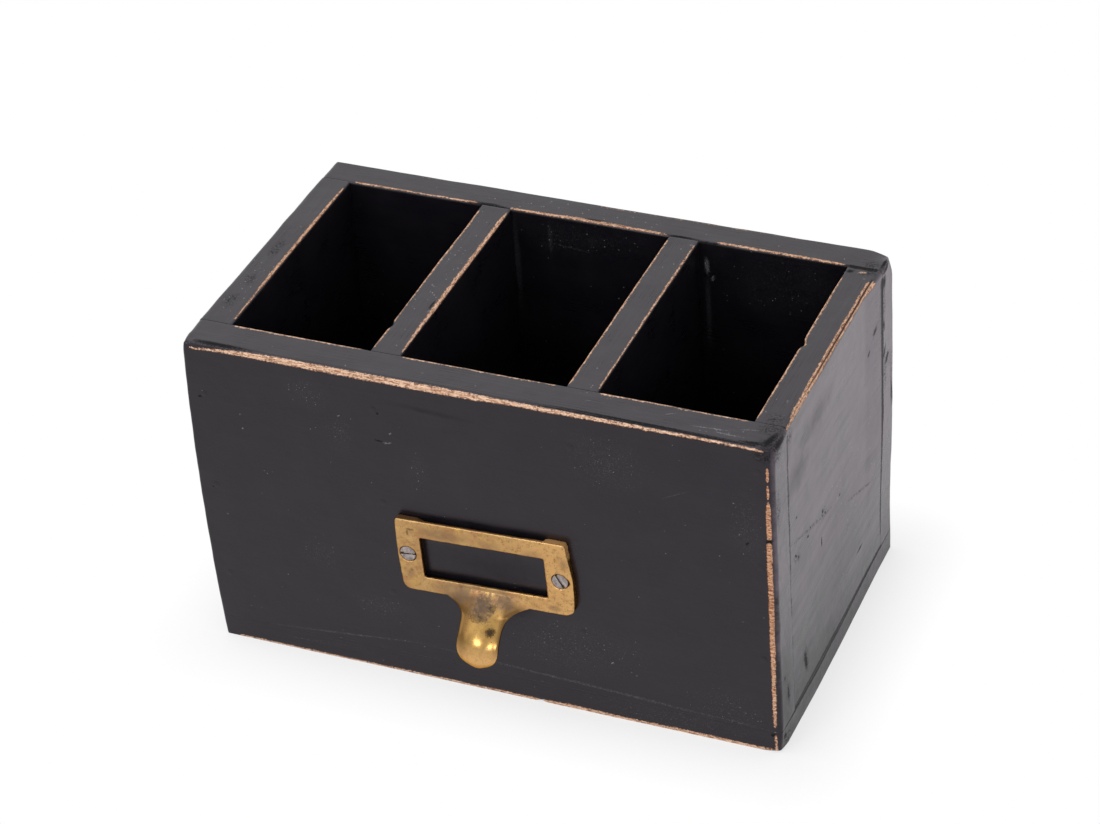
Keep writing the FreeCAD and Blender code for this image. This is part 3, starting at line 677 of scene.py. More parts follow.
def painted_board(name, grain, node_name, streaks=1.0):
    """Brushed black paint, with this board's bare strips, dark joints and marks."""
    material, tree = new_material(name)
    point = in_mm(tree)
    place = split(point)
    x, y, z = place.values()

    def drawn_out(along, across, *more):
        """Noise stretched along the grain."""
        return cloud(point, tuple(along if axis == grain else across for axis in AXES), *more)

    fine = cloud(point, 2.6, 3.0, 0.6)
    broad = cloud(point, 0.09, 3.0)
    brush = drawn_out(0.05, 2.4, 3.0, 0.6)
    wide_brush = drawn_out(0.02, 0.5, 2.0)
    lumps = cloud(point, 0.35, 2.0)
    wander = (cloud(point, 0.22, 1.0) - 0.5) * 0.45
    ragged = (cloud(point, 1.5, 5.0, 0.85) - 0.5) * 3.0

    nothing = broad - broad
    bare = lower_rim = tone = dark = nothing
    if node_name in BARE:
        depth, lower, tone = strips_on(place, BARE[node_name], wander)
        flecks = ((fine - 0.58) * 16.0).clamped()
        depth = depth + ragged * (1.0 - tone * 0.55)
        bare = (depth * BORDER_SHARPNESS + 0.5).clamped() * (1.0 - flecks * 0.8)
        lower_rim = ((depth + 0.30) * 3.0).clamped() * lower
    if node_name in DARK:
        depth, _, faint = strips_on(place, DARK[node_name], wander * 0.5)
        dark = ((depth + ragged * 0.8) * 2.2 + 0.5).clamped() * (1.0 - faint)

    rough_edge = (fine - 0.5) * 2.2
    borders = {  # how ragged and how sharp each kind of mark is
        "dark": (rough_edge, 2.0), "pale": (rough_edge, 1.5), "faint": (rough_edge, 1.5),
        "dust": (rough_edge * 0.3, 0.8), "shade": ((lumps - 0.5) * 0.8, 1.0),
        "crumbled": (rough_edge * 0.5, 1.6)}
    found = dict.fromkeys(borders, nothing)
    for (board, face), kinds in MARKS.items():
        if board == node_name:
            for kind, marks in kinds.items():
                found[kind] = found[kind].most(marks_on(point, face, marks, *borders[kind]))
    crumbs, dust = found["crumbled"], found["dust"]
    dark = dark.most(found["dark"]).most(crumbs * ((ragged - 0.02) * 6.0).clamped())
    pale = found["pale"].most(found["faint"] * FAINT)
    pale = pale.most(crumbs * ((-0.30 - ragged) * 5.0).clamped())
    bare = bare * (1.0 - dark)

    cells, luck = scattered(point, 1.05)
    speck = ((0.09 + luck.pick("Green") * 0.21 - cells) * 10.0).clamped()
    speck = speck * luck.pick("Red").above(0.988 - dust * 0.46)
    haze = dust * ((fine - 0.56) * 9.0).clamped() * 0.3

    uneven_coat = ((broad - 0.35) * 1.4 + (brush - 0.5) * 0.9).clamped()
    # Painted sheen: the right-hand faces are mixed towards a paler, reddish black, more so higher
    # up, so they read darker towards the bottom.
    sheen_wander = (broad - 0.5) * 1.8 + (wide_brush - 0.5) * 0.9 + y / 200.0 - 0.12
    side_sheen = (x - 93.6).clamped() * ((z / 68.0).least(1.0) + sheen_wander)
    side_sheen = side_sheen * ((114.8 - z) * 0.9).clamped()
    # Settled dust and painted sheen: the top faces are mixed towards grey.
    top_dust_and_sheen = ((z - 114.0) * 2.0).clamped() * (brush * 0.9 + broad * 0.6)
    scratch = pale * (0.2 + ((fine - 0.46) * 7.0).clamped() * 0.7)
    paint = mix_colour(uneven_coat, PAINT, PAINT_LIGHT)
    for share, colour in ((side_sheen.clamped(), SIDE_SHEEN), ((top_dust_and_sheen * 0.23).clamped(), DUST_AND_SHEEN),
                          (haze, DUST_AND_SHEEN), (speck * (luck.pick("Blue") * 0.6 + 0.35), SPECK),
                          (scratch.clamped(), SCRATCH)):
        paint = mix_colour(share, paint, colour)

    lines = drawn_out(0.5, 3.4, 3.0, 0.7)
    share = ((lines - 0.44) * 5.0 + (fine - 0.5) * 3.0 + 0.35).clamped()
    wood = mix_colour(tone, mix_colour(share, WOOD_SAND, WOOD_PALE),
                      mix_colour(share, WOOD_BROWN, WOOD_ORANGE))
    fleck = ((0.50 - ragged * 0.5 - lines) * 9.0).clamped() * 0.75
    wood = mix_colour(fleck, wood, WOOD_FLECK)

    height = brush * (0.020 * streaks) + wide_brush * (0.045 * streaks) + lumps * 0.05
    bump = uneven(height + fine * 0.006 + speck * 0.03)
    roughness = 0.31 + (brush - 0.5) * 0.16 + (broad - 0.5) * 0.2 + dust * 0.06 + pale * 0.3
    glossy = surface(paint, roughness.clamped(), bump, {
        "Specular Tint": GLOSS_TINT, "IOR": 1.42})
    matt = surface(mix_colour(lower_rim, CRACK_AND_SHADE, RIM_BROWN), 0.85, bump, {
        "Specular IOR Level": 0.12})
    timber = surface(wood, 0.72, uneven(lines * 0.06 + fine * 0.03), {
        "Specular IOR Level": 0.25})
    # Dark lines, the burnt rim and the shade marks switch to the matt paint. Under shade marks
    # that is painted shade.
    dulled = (dark * 0.85).most(lower_rim * 0.75).most(found["shade"] * SHADE)
    finish_material(mix_shader(bare, mix_shader(dulled, glossy, matt), timber))
    print(f"{name}: {len(tree.nodes)} nodes")
    return material


print("border sharpness:", BORDER_SHARPNESS)

# %% [markdown]
# ## Boards
#
# Real boards are never quite flat. One rule for the whole box moves every point: soft
# waves, a left end that leans and bows, and a right end and a back that stand out a
# little. Since neighbours move together, the joints stay shut. A few nicks are pushed
# in last.

# %% Put the box out of true
HEIGHT = 115 * MM
DEPTH = 108 * MM
SEAM = 8 * MM
END = 85 * MM
END_ZONE = 9 * MM
SLOW_LUMPS, SLOW_WAVE = 26.0, 0.55 * MM
QUICK_LUMPS, QUICK_WAVE = 190.0, 0.12 * MM
PUSH_FALLOFF = 1.4
LEFT_LEAN = 7.7 * MM
LEFT_BOW = 6.5 * MM
RIGHT_BOW = 1.1 * MM
FOOT_SPREAD = 0.5 * MM
BACK_SPREAD = 1.0 * MM
NICKS = [  # middle, reach and push, in millimetres
    ((85, 0, 115), 3.2, (1.3, 0, -0.3)),
    ((-38, -27.2, 115), 2.2, (0.7, 0, -0.5)),
    ((93.4, -54, 81.2), 1.8, (-0.4, 0.6, 0)),
    ((15.2, -54, 0), 2, (0, 0.3, 0.5)),
    ((95, 50, 79), 3, (-0.5, 0, 0)),
    ((95, -54, 115), 6, (-1.1, 1, -0.9)),
    ((-95, -54, 115), 4, (0.5, 0.6, -0.8)),
    ((95, -54, 0), 6, (-0.5, 0.2, 0.9)),
    ((96, 55, 115), 7, (-1.2, -0.5, -1.2)),
]


def rising(value, start, span):
    """0 up to the start, then a straight rise to 1 over the span, which may be negative."""
    return ((value - start) / span).clamped()


def join(parts):
    inputs = {axis.upper(): parts[axis] for axis in AXES}
    return Wire.node(parts["x"].tree, "ShaderNodeCombineXYZ", inputs=inputs)


def nudged(place, pushes):
    """Moves what lies within reach of a point, most at the point itself."""
    for middle, reach, push in pushes:
        offset = vector_maths("SUBTRACT", join(place), tuple(value * MM for value in middle))
        share = (1.0 - length(offset) / (reach * MM)).clamped() ** PUSH_FALLOFF
        place = {axis: place[axis] + share * (step * MM) for axis, step in zip(AXES, push)}
    return place


def shared_wave(place):
    """The box's own unevenness: bowed ends and slow waves, in metres."""
    x, y, z = place.values()
    point = join(place)
    slow, quick = (
        split(Wire.node(point.tree, "ShaderNodeTexNoise", inputs={
            "Vector": point, "Scale": scale, "Detail": 1.0}, output="Color"))
        for scale in (SLOW_LUMPS, QUICK_LUMPS))
    waves = {axis: (slow[axis] - 0.5) * SLOW_WAVE + (quick[axis] - 0.5) * QUICK_WAVE
             for axis in AXES}
    waves["z"] = waves["z"] * (z / SEAM).clamped()
    moved = {axis: place[axis] + waves[axis] for axis in AXES}
    rise = (z / HEIGHT).clamped()
    left = rising(x, -END, -END_ZONE) * (0.55 - y / DEPTH * 0.9)
    right = rising(x, END, END_ZONE)
    upper = right * rising(y, 30 * MM, 14 * MM)
    foot = right * rising(y, -50 * MM, 30 * MM) * rising(y, 40 * MM, -40 * MM)
    moved["x"] = moved["x"] - left * rise * (LEFT_LEAN - rise * LEFT_BOW)
    moved["x"] = moved["x"] + upper * ((rise - 0.2) * 3.0).clamped() * RIGHT_BOW
    moved["x"] = moved["x"] + foot * (1.0 - rise * 4.0).clamped() * FOOT_SPREAD
    moved["y"] = moved["y"] + rising(y, 40 * MM, 14 * MM) * BACK_SPREAD
    return moved


print("nicks:", len(NICKS))

# %% [markdown]
# An edge is eased by drawing in what lies outside a quarter circle. Each of a block's
# twelve edges is named by the two faces that meet in it, so one function serves them
# all.

# %% Ease an edge
TINY = 1e-7
FACES = {"left": ("x", 0), "right": ("x", 1), "front": ("y", 0), "back": ("y", 1),
         "bottom": ("z", 0), "top": ("z", 1)}
EDGES = ["left front", "left back", "right front", "right back",
         "left bottom", "left top", "right bottom", "right top",
         "front bottom", "front top", "back bottom", "back top"]


def hypotenuse(a, b):
    """Length of the long side of a right triangle."""
    return (a * a + b * b) ** 0.5


def ease_edge(place, low, high, edge, radius):
    """Round one edge of a block. place holds the three coordinates as wires."""
    inward = {}
    for word in edge.split():
        axis, upper = FACES[word]
        inward[axis] = (high[axis] - place[axis]) if upper else (place[axis] - low[axis])
    (axis_a, in_a), (axis_b, in_b) = inward.items()
    past_a = (radius - in_a).most(0.0)
    past_b = (radius - in_b).most(0.0)
    pull = 1.0 - (radius / hypotenuse(past_a, past_b).most(TINY)).least(1.0)
    moved = dict(place)
    for word, past in zip(edge.split(), (past_a, past_b)):
        axis, upper = FACES[word]
        shift = past * pull
        moved[axis] = (place[axis] - shift) if upper else (place[axis] + shift)
    return moved


print("edges of a board:", len(EDGES))

# %% [markdown]
# Every Geometry Nodes tree here starts and ends the same way. It has named inputs,
# and it ends by making its instances real and setting the material.

# %% Start and end a tree
def new_shape_tree(name, inputs):
    """A Geometry Nodes tree with named inputs, and the node that gives them."""
    tree = bpy.data.node_groups.new(name, "GeometryNodeTree")
    tree.interface.new_socket("Geometry", in_out="OUTPUT", socket_type="NodeSocketGeometry")
    for title, kind, default in inputs:
        socket = tree.interface.new_socket(
            title, in_out="INPUT", socket_type=f"NodeSocket{kind}")
        if default is not None:
            socket.default_value = default
    return tree, Wire.node(tree, "NodeGroupInput")


def finish_shape(given, geometry):
    """End a tree: make its instances real and give the result its material."""
    whole = Wire.node(given.tree, "GeometryNodeRealizeInstances", inputs={"Geometry": geometry})
    coated = Wire.node(given.tree, "GeometryNodeSetMaterial", inputs={
        "Geometry": whole, "Material": given.pick("Material")})
    output = given.tree.nodes.new("NodeGroupOutput")
    given.tree.links.new(coated.socket, output.inputs["Geometry"])


print("tree helpers ready")

# %% [markdown]
# A board is a rule: a block with eased edges. The tree starts from a closed block of
# cells, packs the rows close together near the edges, where the rounding needs them,
# rounds each of the twelve edges by its own amount, and then puts the board out of
# true.

# %% Build the tree for a board
EDGE_ROWS = 9
EDGE_ZONE = 2.6 * MM
ROW_PACKING = 1.5
CELL = 1.6 * MM


def make_board_tree():
    tree, given = new_shape_tree("board_with_eased_edges", [
        ("Low corner", "Vector", None), ("High corner", "Vector", None),
        *((f"Cells {axis}", "Int", 20) for axis in AXES),
        *((f"Ease {edge}", "Float", 0.2 * MM) for edge in EDGES),
        ("Material", "Material", None)])
    low, high = split(given.pick("Low corner")), split(given.pick("High corner"))
    cells = {axis: given.pick(f"Cells {axis}") for axis in AXES}
    block = Wire.node(tree, "GeometryNodeMeshCube", inputs={
        "Size": (1.0, 1.0, 1.0), **{f"Vertices {axis.upper()}": cells[axis] + 1 for axis in AXES}})
    start = split(Wire.node(tree, "GeometryNodeInputPosition"))
    place = {}
    for axis in AXES:
        row = (start[axis] + 0.5) * cells[axis]
        rows_in = row.least(cells[axis] - row)
        step = (high[axis] - low[axis] - 2 * EDGE_ZONE) / (cells[axis] - 2 * EDGE_ROWS)
        depth = ((rows_in / EDGE_ROWS).least(1.0) ** ROW_PACKING) * EDGE_ZONE
        depth = depth + (rows_in - EDGE_ROWS).most(0.0) * step
        upper = start[axis].above(0.0)
        place[axis] = (low[axis] + depth) * (1.0 - upper) + (high[axis] - depth) * upper
    rough = cloud(join(place), 120.0, 2.0) * 0.9 + 0.55
    for edge in EDGES:
        place = ease_edge(place, low, high, edge, given.pick(f"Ease {edge}") * rough)
    place = nudged(shared_wave(place), NICKS)
    shaped = Wire.node(tree, "GeometryNodeSetPosition", inputs={
        "Geometry": block, "Position": join(place)})
    finish_shape(given, Wire.node(tree, "GeometryNodeSetShadeSmooth", inputs={
        "Geometry": shaped}))
    return tree


board_tree = make_board_tree()
print("board tree:", len(board_tree.nodes), "nodes")

# %% [markdown]
# A tree works through a modifier, but a plain mesh is easier to check and to export.
# So the tree is run once on a fresh object, and its result is kept in the modifier's
# place.

# %% Keep what a tree makes
def grow(name, tree, values, base_mesh=None):
    """Run a Geometry Nodes tree once and keep its result as a plain mesh object."""
    seed_mesh = base_mesh or bpy.data.meshes.new(name)
    piece = bpy.data.objects.new(name, seed_mesh)
    scene.collection.objects.link(piece)
    modifier = piece.modifiers.new(name, "NODES")
    modifier.node_group = tree
    for item in tree.interface.items_tree:
        if item.in_out == "INPUT" and item.name in values:
            modifier[item.identifier] = values[item.name]
    evaluated = piece.evaluated_get(bpy.context.evaluated_depsgraph_get())
    mesh = bpy.data.meshes.new_from_object(evaluated)
    piece.modifiers.remove(modifier)
    piece.data = mesh
    mesh.name = name
    return piece


print("ready to grow the boards")

# %% [markdown]
# Each board now gets its box from the construction model and its own eased edges. The
# open arrises are the roundest. Edges that meet in a joint are only broken with
# sandpaper, so the joint reads as a thin line, wider where the photograph shows it.

# %% Grow the boards
SOFT_ARRIS = 1.5
BAY_RIM = 0.45
TIGHT_JOINT = 0.12
BOARDS = {
    "front_board": ("x", {"front top": 1.4, "left top": 1.6, "right top": 2.0, "left front": 0.9,
                          "right front": 1.6, "back top": 0.4, "right back": 0.05,
                          "front bottom": 0.06}),
    "back_board": ("x", {"back top": 0.6, "left top": SOFT_ARRIS, "right top": 0.8,
                         "left back": SOFT_ARRIS, "right back": 0.8, "front top": 0.6,
                         "right front": 0.12}),
    "left_side": ("y", {"left top": 1.2, "right top": BAY_RIM}),
    "right_side": ("y", {"right top": 1.4, "left top": BAY_RIM, "right back": 0.12,
                         "right bottom": 0.22, "right front": 0.05}),
    "left_divider": ("y", {"left top": BAY_RIM, "right top": BAY_RIM, "back top": 0.4}),
    "right_divider": ("y", {"left top": BAY_RIM, "right top": BAY_RIM, "back top": 0.4}),
    "base_board": ("x", {"front bottom": 0.3, "back bottom": 1.0, "left bottom": 0.8,
                         "right bottom": 0.4, "left front": 0.9, "right front": 1.3,
                         "left back": SOFT_ARRIS, "right back": 0.8, "right top": 0.3,
                         "front top": 0.08}),
}

for node_name, (grain, eased) in BOARDS.items():
    low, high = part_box(node_name)
    values = {"Low corner": low, "High corner": high}
    for i, axis in enumerate(AXES):
        inside = high[i] - low[i] - 2 * EDGE_ZONE
        values[f"Cells {axis}"] = round(inside / CELL) + 2 * EDGE_ROWS
    values.update({f"Ease {edge}": eased.get(edge, TIGHT_JOINT) * MM for edge in EDGES})
    streaks = {"right_side": 0.25, "front_board": 0.6}.get(node_name, 1.0)
    values["Material"] = painted_board(f"black_paint_{node_name}", grain, node_name, streaks)
    piece = grow(f"worn_{node_name}", board_tree, values)
    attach(piece, "root")
    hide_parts(node_name)
    print(f"{piece.name}: {len(piece.data.polygons)} faces")

# %% [markdown]
# ## Filled pin holes
#
# Panel pins hold the boards together. Their heads are sunk, and the holes are filled
# with stopping and painted over, so all that shows is a faint round dot. The
# construction model has all the dots of a side in one mesh, so the loose parts are
# told apart first, to find their middles.

# %% Find the holes
def island_middles(mesh):
    """Middle of each loose part of a construction mesh."""
    points = np.array([vertex.co for vertex in mesh.vertices])
    _, merged = np.unique(np.round(points / MM, 3), axis=0, return_inverse=True)
    parent = list(range(merged.max() + 1))

    def root(index):
        while parent[index] != index:
            parent[index] = parent[parent[index]]
            index = parent[index]
        return index

    merged = merged.ravel()
    for polygon in mesh.polygons:
        ids = [root(int(merged[v])) for v in polygon.vertices]
        for other in ids[1:]:
            parent[root(other)] = root(ids[0])
    groups = {}
    for index, number in enumerate(merged):
        groups.setdefault(root(int(number)), []).append(points[index])
    return [(np.min(group, 0) + np.max(group, 0)) / 2 for group in groups.values()]


print("filled holes at the front:",
      len(island_middles(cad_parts["front_stopping"].data)))

# %% [markdown]
# The dots repeat, so a tree sets a small plug with a slightly raised top on each
# place. The places move with the boards by the same shared rule.

# %% Set the stopping
PLUG_DOME = 0.05 * MM
PLUG_PROUD = 0.03 * MM
PLUG_SIDES = 20
PLUG_RINGS = 4


def make_plug_tree():
    """A plug on every point, facing the given way."""
    tree, given = new_shape_tree("stopping_plugs", [
        ("Geometry", "Geometry", None), ("Facing", "Vector", (0.0, 0.0, 1.0)),
        ("Radius", "Float", 1.2 * MM), ("Length", "Float", 1.5 * MM),
        ("Material", "Material", None)])
    radius = given.pick("Radius")
    plug = Wire.node(tree, "GeometryNodeMeshCylinder", {"fill_type": "TRIANGLE_FAN"}, {
        "Vertices": PLUG_SIDES, "Side Segments": 1, "Fill Segments": PLUG_RINGS,
        "Radius": radius, "Depth": given.pick("Length")})
    place = split(Wire.node(tree, "GeometryNodeInputPosition"))
    out = hypotenuse(place["x"], place["y"]) / radius
    dome = (1.0 - out * out).most(0.0) * place["z"].above(0.0) * PLUG_DOME
    domed = Wire.node(tree, "GeometryNodeSetPosition", inputs={
        "Geometry": plug, "Position": join({**place, "z": place["z"] + dome + PLUG_PROUD})})
    aim = Wire.node(tree, "FunctionNodeAlignRotationToVector", {"axis": "Z"},
                    {"Vector": given.pick("Facing")})
    middles = split(Wire.node(tree, "GeometryNodeInputPosition"))
    moved = Wire.node(tree, "GeometryNodeSetPosition", inputs={
        "Geometry": given.pick("Geometry"), "Position": join(shared_wave(middles))})
    finish_shape(given, Wire.node(tree, "GeometryNodeInstanceOnPoints", inputs={
        "Points": moved, "Instance": domed, "Rotation": aim}))
    return tree


plug_tree = make_plug_tree()
stopping_paint = painted_board("black_paint_stopping", "x", "stopping")
for node_name, facing in (("front_stopping", (0, -1, 0)), ("back_stopping", (0, 1, 0)),
                          ("base_stopping", (0, 0, -1))):
    middles = island_middles(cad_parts[node_name].data)
    points = bpy.data.meshes.new(node_name)
    points.from_pydata([tuple(m) for m in middles], [], [])
    piece = grow(f"filled_{node_name}", plug_tree,
                 {"Facing": facing, "Material": stopping_paint}, points)
    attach(piece, "root")
    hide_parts(node_name)
    print(f"{piece.name}: {len(middles)} plugs")

# %% [markdown]
# ## Brass
#
# The finish is old brass: warm metal, dulled brown in patches, with small pits. The tongue is
# polished by fingers. Its sides and the hollows behind the frame's face are darkened as painted
# shade. The back of the top bar is darker at the left and painted lighter at its right end, as a
# painted highlight. Patches and pits that the photograph shows are listed with their places on the
# casting.

# %% Choose the brass
BRASS_BRIGHT = screen(198, 162, 108)
BRASS_GOLD = screen(213, 167, 108)
BRASS_WARM = screen(174, 130, 88)
BRASS_DULL = screen(138, 104, 68)
BRASS_OLIVE = screen(164, 130, 72)
BRASS_SHADE = screen(98, 72, 42)
BRASS_YELLOW = screen(208, 170, 100)
PATINA = screen(106, 88, 74)
RED_SPECK = screen(116, 62, 42)
PIT = screen(50, 40, 34)
# Back of the top bar: darker brown at the left, and painted lighter at the right end as a painted
# highlight on its top face.
BACK_DARK = screen(96, 68, 46)
BACK_LIT = screen(206, 158, 104)
EDGE_TINT = screen(206, 174, 138)
FACE_Y = -56.6

PATINA_SPOTS = [  # middle, reach and strength, in millimetres
    ((0.4, -60.5, 39.6), (5.2, 7, 5), 1),
    ((7, -59, 41.6), (5.4, 5, 3.4), 0.8),
    ((-7, -58.5, 41), (4.6, 5, 3.6), 0.7),
    ((-2, -58.5, 43.4), (15, 3, 2.4), 0.6),
    ((-9, -57.5, 40.2), (10, 4, 3.6), 0.5),
    ((-24.5, -56.6, 43.5), (1.6, 2, 2.6), 0.35),
    ((23.4, -56.6, 41.4), (2.8, 2, 1.4), 0.5),
    ((27.4, -56.6, 59), (1.8, 2, 3), 0.4),
    ((-13, -56.6, 61), (10, 2, 2.6), 0.45),
    ((2, -56.6, 60.6), (5, 2, 2), 0.25),
    ((17.5, -56.6, 60), (4, 2, 2.4), 0.3),
    ((-2, -68, 27.5), (3, 3, 2), 0.35),
]
PIT_SPOTS = [
    ((5.3, -65.6, 34.2), (1.6, 2.4, 1.2), 0.95),
    ((0.4, -62.6, 36.6), (3.4, 3, 1.1), 0.4),
    ((4.2, -60.6, 39.4), (1.4, 2.4, 1.2), 0.5),
    ((-23.4, -56.6, 60.8), (1.5, 2, 0.45), 0.55),
    ((-24.4, -56.6, 59.4), (0.45, 2, 1.3), 0.55),
    ((-24, -56.6, 45), (0.7, 2, 0.6), 0.4),
    ((24.6, -56.6, 60.2), (0.4, 1.5, 1.2), 0.4),
]
print("patches:", len(PATINA_SPOTS), "pits:", len(PIT_SPOTS))

# %% [markdown]
# The colours lie over one another like coats: each has a share that changes over the surface and
# covers what is under it. The back of the top bar and the patina also take the shine off and make
# the surface less metallic, while the pits and the specks sink into it.

# %% Age the brass
def brass_patch(point, spots, rough_edge, softness):
    """Union of soft egg-shaped patches anywhere on the casting."""
    union = None
    for middle, reach, strength in spots:
        offset = vector_maths("DIVIDE", vector_maths("SUBTRACT", point, middle), reach)
        mask = ((1.0 - length(offset) + rough_edge) * softness).clamped() * strength
        union = mask if union is None else union.most(mask)
    return union


def aged_brass():
    """Warm metal with painted brown shade on the tongue's sides and behind the face, grey where
    fingers never reach, with pits.
    """
    material, tree = new_material("aged_brass")
    point = in_mm(tree)
    x, y, z = split(point).values()
    broad = cloud(point, 0.16, 3.0, 0.6)
    mottle = cloud(point, 0.75, 4.0, 0.7)
    fine = cloud(point, 3.0, 3.0, 0.7)
    patina = brass_patch(point, PATINA_SPOTS, (mottle - 0.5) * 1.6 + (broad - 0.5) * 0.6, 1.7)
    pits = brass_patch(point, PIT_SPOTS, (fine - 0.5) * 2.4, 2.2)
    cells, luck = scattered(point, 1.25)
    right_end = rising(x, 4.0, 18.0) * ((y + 60.0) * 4.0).clamped()
    specks = ((0.24 - cells) * 10.0).clamped() * luck.pick("Red").above(0.90 - right_end * 0.40)

    tongue = rising(y, -58.6, -3.0)
    # Painted shade: the tongue's two sides are mixed towards brown.
    flank_shade = rising(x, -0.4, -2.6).most(rising(x, 6.9, 1.5))
    flank_shade = flank_shade * rising(y, -57.0, -1.5) * rising(z, 26.0, 6.0)
    polish = tongue * rising(z, 37.0, -4.0)
    neck = rising(z, 37.0, 3.0) * ((-57.0 - y) * 1.5).clamped() * 0.5
    tip = rising(z, 31.0, -4.0)
    # Painted shade: faces behind the frame's front face are mixed a little towards brown. Above z
    # 60, the back of the top bar is darker at the left and painted lighter at the right end, as a
    # painted highlight.
    behind = ((y - FACE_Y - 0.35) * 3.0).clamped()
    top_back = behind * ((z - 60.0) * 0.8).clamped() * 0.9
    top_back_colour = mix_colour(rising(x, 14.0, 8.0), BACK_DARK, BACK_LIT)
    tint = cloud(point, 0.33, 2.0)
    dull_patches = ((0.52 - mottle) * 4.0).clamped() * (0.75 - polish * 0.3)
    cast = ((broad - 0.36) * 3.0 + (fine - 0.5) * 0.8).clamped()
    colour = mix_colour(cast, BRASS_WARM, BRASS_BRIGHT)
    for share, layer in (
            (((tint - 0.5) * 5.0).clamped() * 0.5, BRASS_YELLOW),
            (right_end * 0.75, BRASS_GOLD),
            (tongue * (1.0 - tip) * 0.8, BRASS_OLIVE),
            (tip * 0.9, BRASS_GOLD),
            (dull_patches, BRASS_DULL),
            ((flank_shade * 0.85).most(behind * 0.3), BRASS_SHADE),
            (top_back, top_back_colour),
            ((patina * (0.6 + mottle * 0.7)).clamped(), PATINA),
            (specks * 0.8, RED_SPECK),
            (pits, PIT)):
        colour = mix_colour(share, colour, layer)
    dull = patina.most(pits).most(specks * 0.7).most(top_back).most(neck)
    uneven_shine = ((mottle - 0.5) * 0.3 + (fine - 0.5) * 0.12) * (1.0 - polish * 0.9)
    roughness = 0.33 + uneven_shine + dull * 0.28 - polish * 0.11
    height = (mottle * 0.03 + fine * 0.010) * (1.0 - tongue * 0.6 - polish * 0.3)
    finish_material(surface(
        colour, roughness.clamped(), uneven(height - specks * 0.03 - pits * 0.10),
        {"Metallic": 1.0 - dull * 0.5, "Specular Tint": EDGE_TINT}))
    return material


print("brass ready")

# %% [markdown]
# The pull is one casting. Its shape in the construction model is right but too
# perfect, so a sewn copy is wrapped in fine even cells and smoothed, which softens
# every corner a little.

# %% Wrap a casting
def merged_copy(node_name, wedges=()):
    """A sewn copy of a construction mesh, with plan triangles added as upright wedges."""
    work = bmesh.new()
    work.from_mesh(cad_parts[node_name].data)
    bmesh.ops.remove_doubles(work, verts=work.verts, dist=0.002 * MM)
    for plan, low, high in wedges:
        foot, top = ([work.verts.new((x * MM, y * MM, z * MM)) for x, y in plan]
                     for z in (low, high))
        walls = [(foot[i - 1], foot[i], top[i], top[i - 1]) for i in range(3)]
        faces = [work.faces.new(loop) for loop in [foot, top[::-1], *walls]]
        bmesh.ops.recalc_face_normals(work, faces=faces)
    mesh = bpy.data.meshes.new(node_name)
    work.to_mesh(mesh)
    work.free()
    return mesh


def recast(node_name, cell, smoothing, wedges=()):
    """Wrap a copy of a construction node in even cells, softened at the corners."""
    rough = bpy.data.objects.new(node_name + "_copy", merged_copy(node_name, wedges))
    scene.collection.objects.link(rough)
    wrap = rough.modifiers.new("wrap", "REMESH")
    wrap.mode = "VOXEL"
    wrap.voxel_size = cell
    soften = rough.modifiers.new("soften", "SMOOTH")
    soften.iterations = smoothing
    soften.factor = 0.5
    evaluated = rough.evaluated_get(bpy.context.evaluated_depsgraph_get())
    mesh = bpy.data.meshes.new_from_object(evaluated)
    bpy.data.objects.remove(rough)
    return mesh


print("castings are wrapped in even cells")

# %% [markdown]
# A tree then pushes the skin in and out by hundredths of a millimetre, nudges two
# places of the tongue, and bows the frame's right end outwards.

# %% Build the tree for the skin
CASTING_PUSHES = [  # middle, reach and push, in millimetres
    ((-6, -70.5, 26), 4.5, (0.4, 0, 0.3)),
    ((8.6, -60.5, 37.5), 5, (0.7, 0, 0)),
]


def make_skin_tree():
    """Pushes a surface in and out along its normal, and bends the casting."""
    tree, given = new_shape_tree("cast_skin", [
        ("Geometry", "Geometry", None), ("Lump height", "Float", 0.1 * MM),
        ("Lumps per metre", "Float", 150.0), ("Bowed end", "Float", 0.0),
        ("Material", "Material", None)])
    point = Wire.node(tree, "GeometryNodeInputPosition")
    wave = Wire.node(tree, "ShaderNodeTexNoise", inputs={
        "Vector": point, "Scale": given.pick("Lumps per metre"), "Detail": 2.0})
    place = split(point)
    ahead = rising(place["y"], -58 * MM, -2 * MM)
    push = (wave - 0.5) * given.pick("Lump height") * (2.0 - ahead * 1.75)
    level = (place["z"] - 49 * MM) / (14 * MM)
    bowed = rising(place["x"], 28.1 * MM, 1.0 * MM) * (1.0 - level * level).clamped()
    shape = nudged(place, CASTING_PUSHES)
    shape["x"] = shape["x"] + bowed * given.pick("Bowed end")
    pushed = Wire.node(tree, "GeometryNodeSetPosition", inputs={
        "Geometry": given.pick("Geometry"), "Position": join(shape),
        "Offset": scaled(Wire.node(tree, "GeometryNodeInputNormal"), push)})
    finish_shape(given, Wire.node(tree, "GeometryNodeSetShadeSmooth", inputs={
        "Geometry": pushed}))
    return tree


skin_tree = make_skin_tree()
print("skin tree:", len(skin_tree.nodes), "nodes")

# %% [markdown]
# Seen from above, the frame's thick ends slope into its thin bar, and two small
# wedges fill those corners before the casting is wrapped.

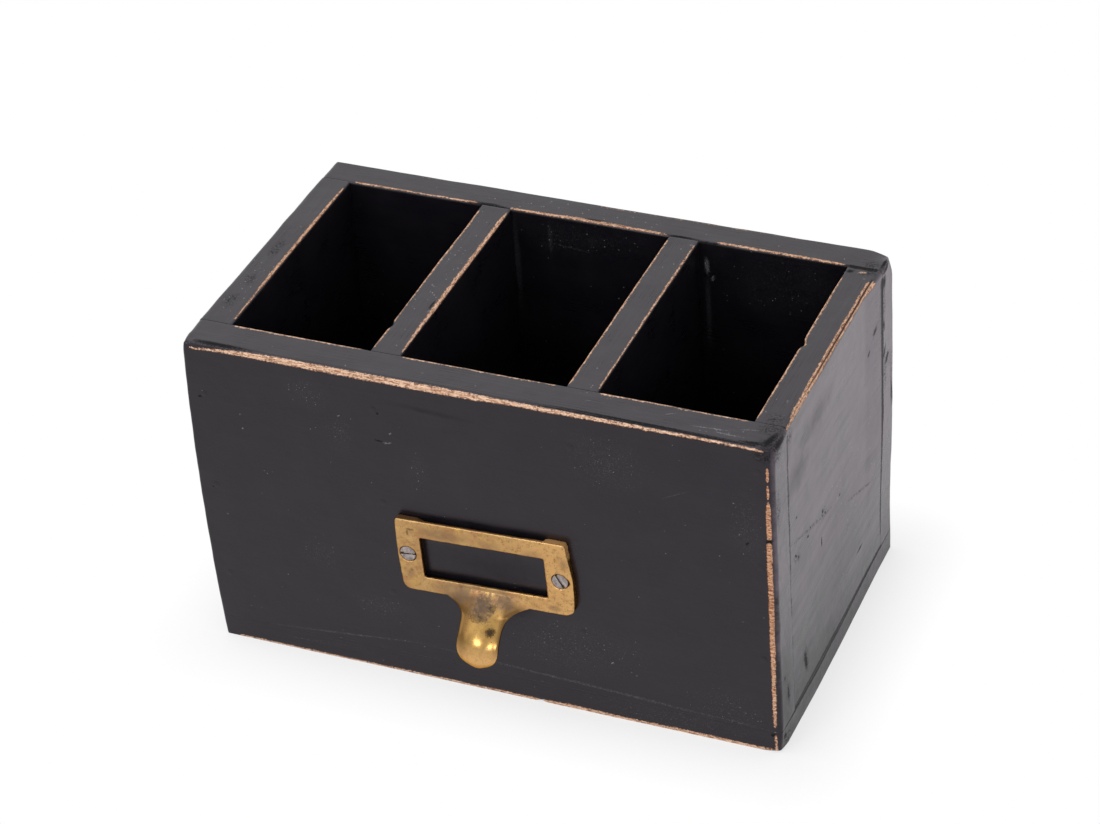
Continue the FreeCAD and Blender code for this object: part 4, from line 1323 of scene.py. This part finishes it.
# %% Cast the brass pull
CAST_CELL = 0.30 * MM
END_WEDGES = [
    (((-21.8, -53.9), (-21.8, -55.5), (-16.2, -55.5)), 59.0, 63.9),
    (((22.4, -53.9), (22.4, -55.5), (16.8, -55.5)), 59.0, 63.9),
]
pull = grow("cast_brass_pull", skin_tree, {
    "Lump height": 0.09 * MM, "Lumps per metre": 170.0, "Bowed end": 0.9 * MM,
    "Material": aged_brass(),
}, recast("label_pull", CAST_CELL, 5, END_WEDGES))
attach(pull, "root")
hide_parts("label_pull")
print(f"{pull.name}: {len(pull.data.polygons)} faces")

# %% [markdown]
# ## Screws and pins
#
# Two slotted wood screws hold the pull. The steel is dull and turned, so its fine
# rings run round each screw's own middle, with a little rust towards the rim of the
# head.

# %% Turn the steel
STEEL = screen(190, 176, 170)
STEEL_DARK = screen(104, 102, 104)
RUST = screen(92, 66, 48)


def turned_steel(name, centre, facing):
    """Dull steel with faint rings round an axis through the given point."""
    material, tree = new_material(name)
    point = Wire.node(tree, "ShaderNodeTexCoord", output="Object")
    offset = scaled(vector_maths("SUBTRACT", point, tuple(centre)), 1 / MM)
    place = split(offset)
    ring = hypotenuse(*(place[axis] for axis in AXES if axis != facing))
    broad = cloud(offset, 0.7, 3.0, 0.6)
    fine = cloud(offset, 5.0, 2.0, 0.6)
    rings = ring.maths("SINE", ring * 22.0 + broad * 3.0) * 0.5 + 0.5
    rust = ((broad - 0.62) * 6.0).clamped().most((ring - 2.35) * 3.0).clamped() * 0.6
    worn = ((broad - 0.5) * 2.2 + (fine - 0.5) * 0.9 + 0.55).clamped()
    colour = mix_colour(rust, mix_colour(worn, STEEL_DARK, STEEL), RUST)
    roughness = (0.34 + (fine - 0.5) * 0.2 + rust * 0.3).clamped()
    finish_material(surface(colour, roughness, uneven(rings * 0.004 + fine * 0.010), {
        "Metallic": 1.0 - rust * 0.5}))
    return material


print("steel ready")

# %% [markdown]
# The screws' shape comes from the construction model, wrapped like the pull in finer
# cells, so that the slot's lips look used. The panel pins are sealed in the wood and
# keep their construction meshes.

# %% Fit the screws and pins
SCREW_CELL = 0.11 * MM

for node_name in ("left_label_screw", "right_label_screw"):
    low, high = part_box(node_name)
    steel = turned_steel(f"steel_{node_name}", (low + high) / 2, "y")
    screw = grow(f"slotted_{node_name}", skin_tree, {
        "Lump height": 0.012 * MM, "Lumps per metre": 900.0, "Material": steel,
    }, recast(node_name, SCREW_CELL, 2))
    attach(screw, "root")
    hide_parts(node_name)
    print(f"{screw.name}: {len(screw.data.polygons)} faces")

for node_name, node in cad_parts.items():
    if node_name.endswith("_pins"):
        low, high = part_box(node_name)
        facing = "z" if "base" in node_name else "y"
        steel = turned_steel(f"steel_{node_name}", (low + high) / 2, facing)
        node.data.materials.clear()
        node.data.materials.append(steel)
print("pins in steel:", sum(name.endswith("_pins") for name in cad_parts))
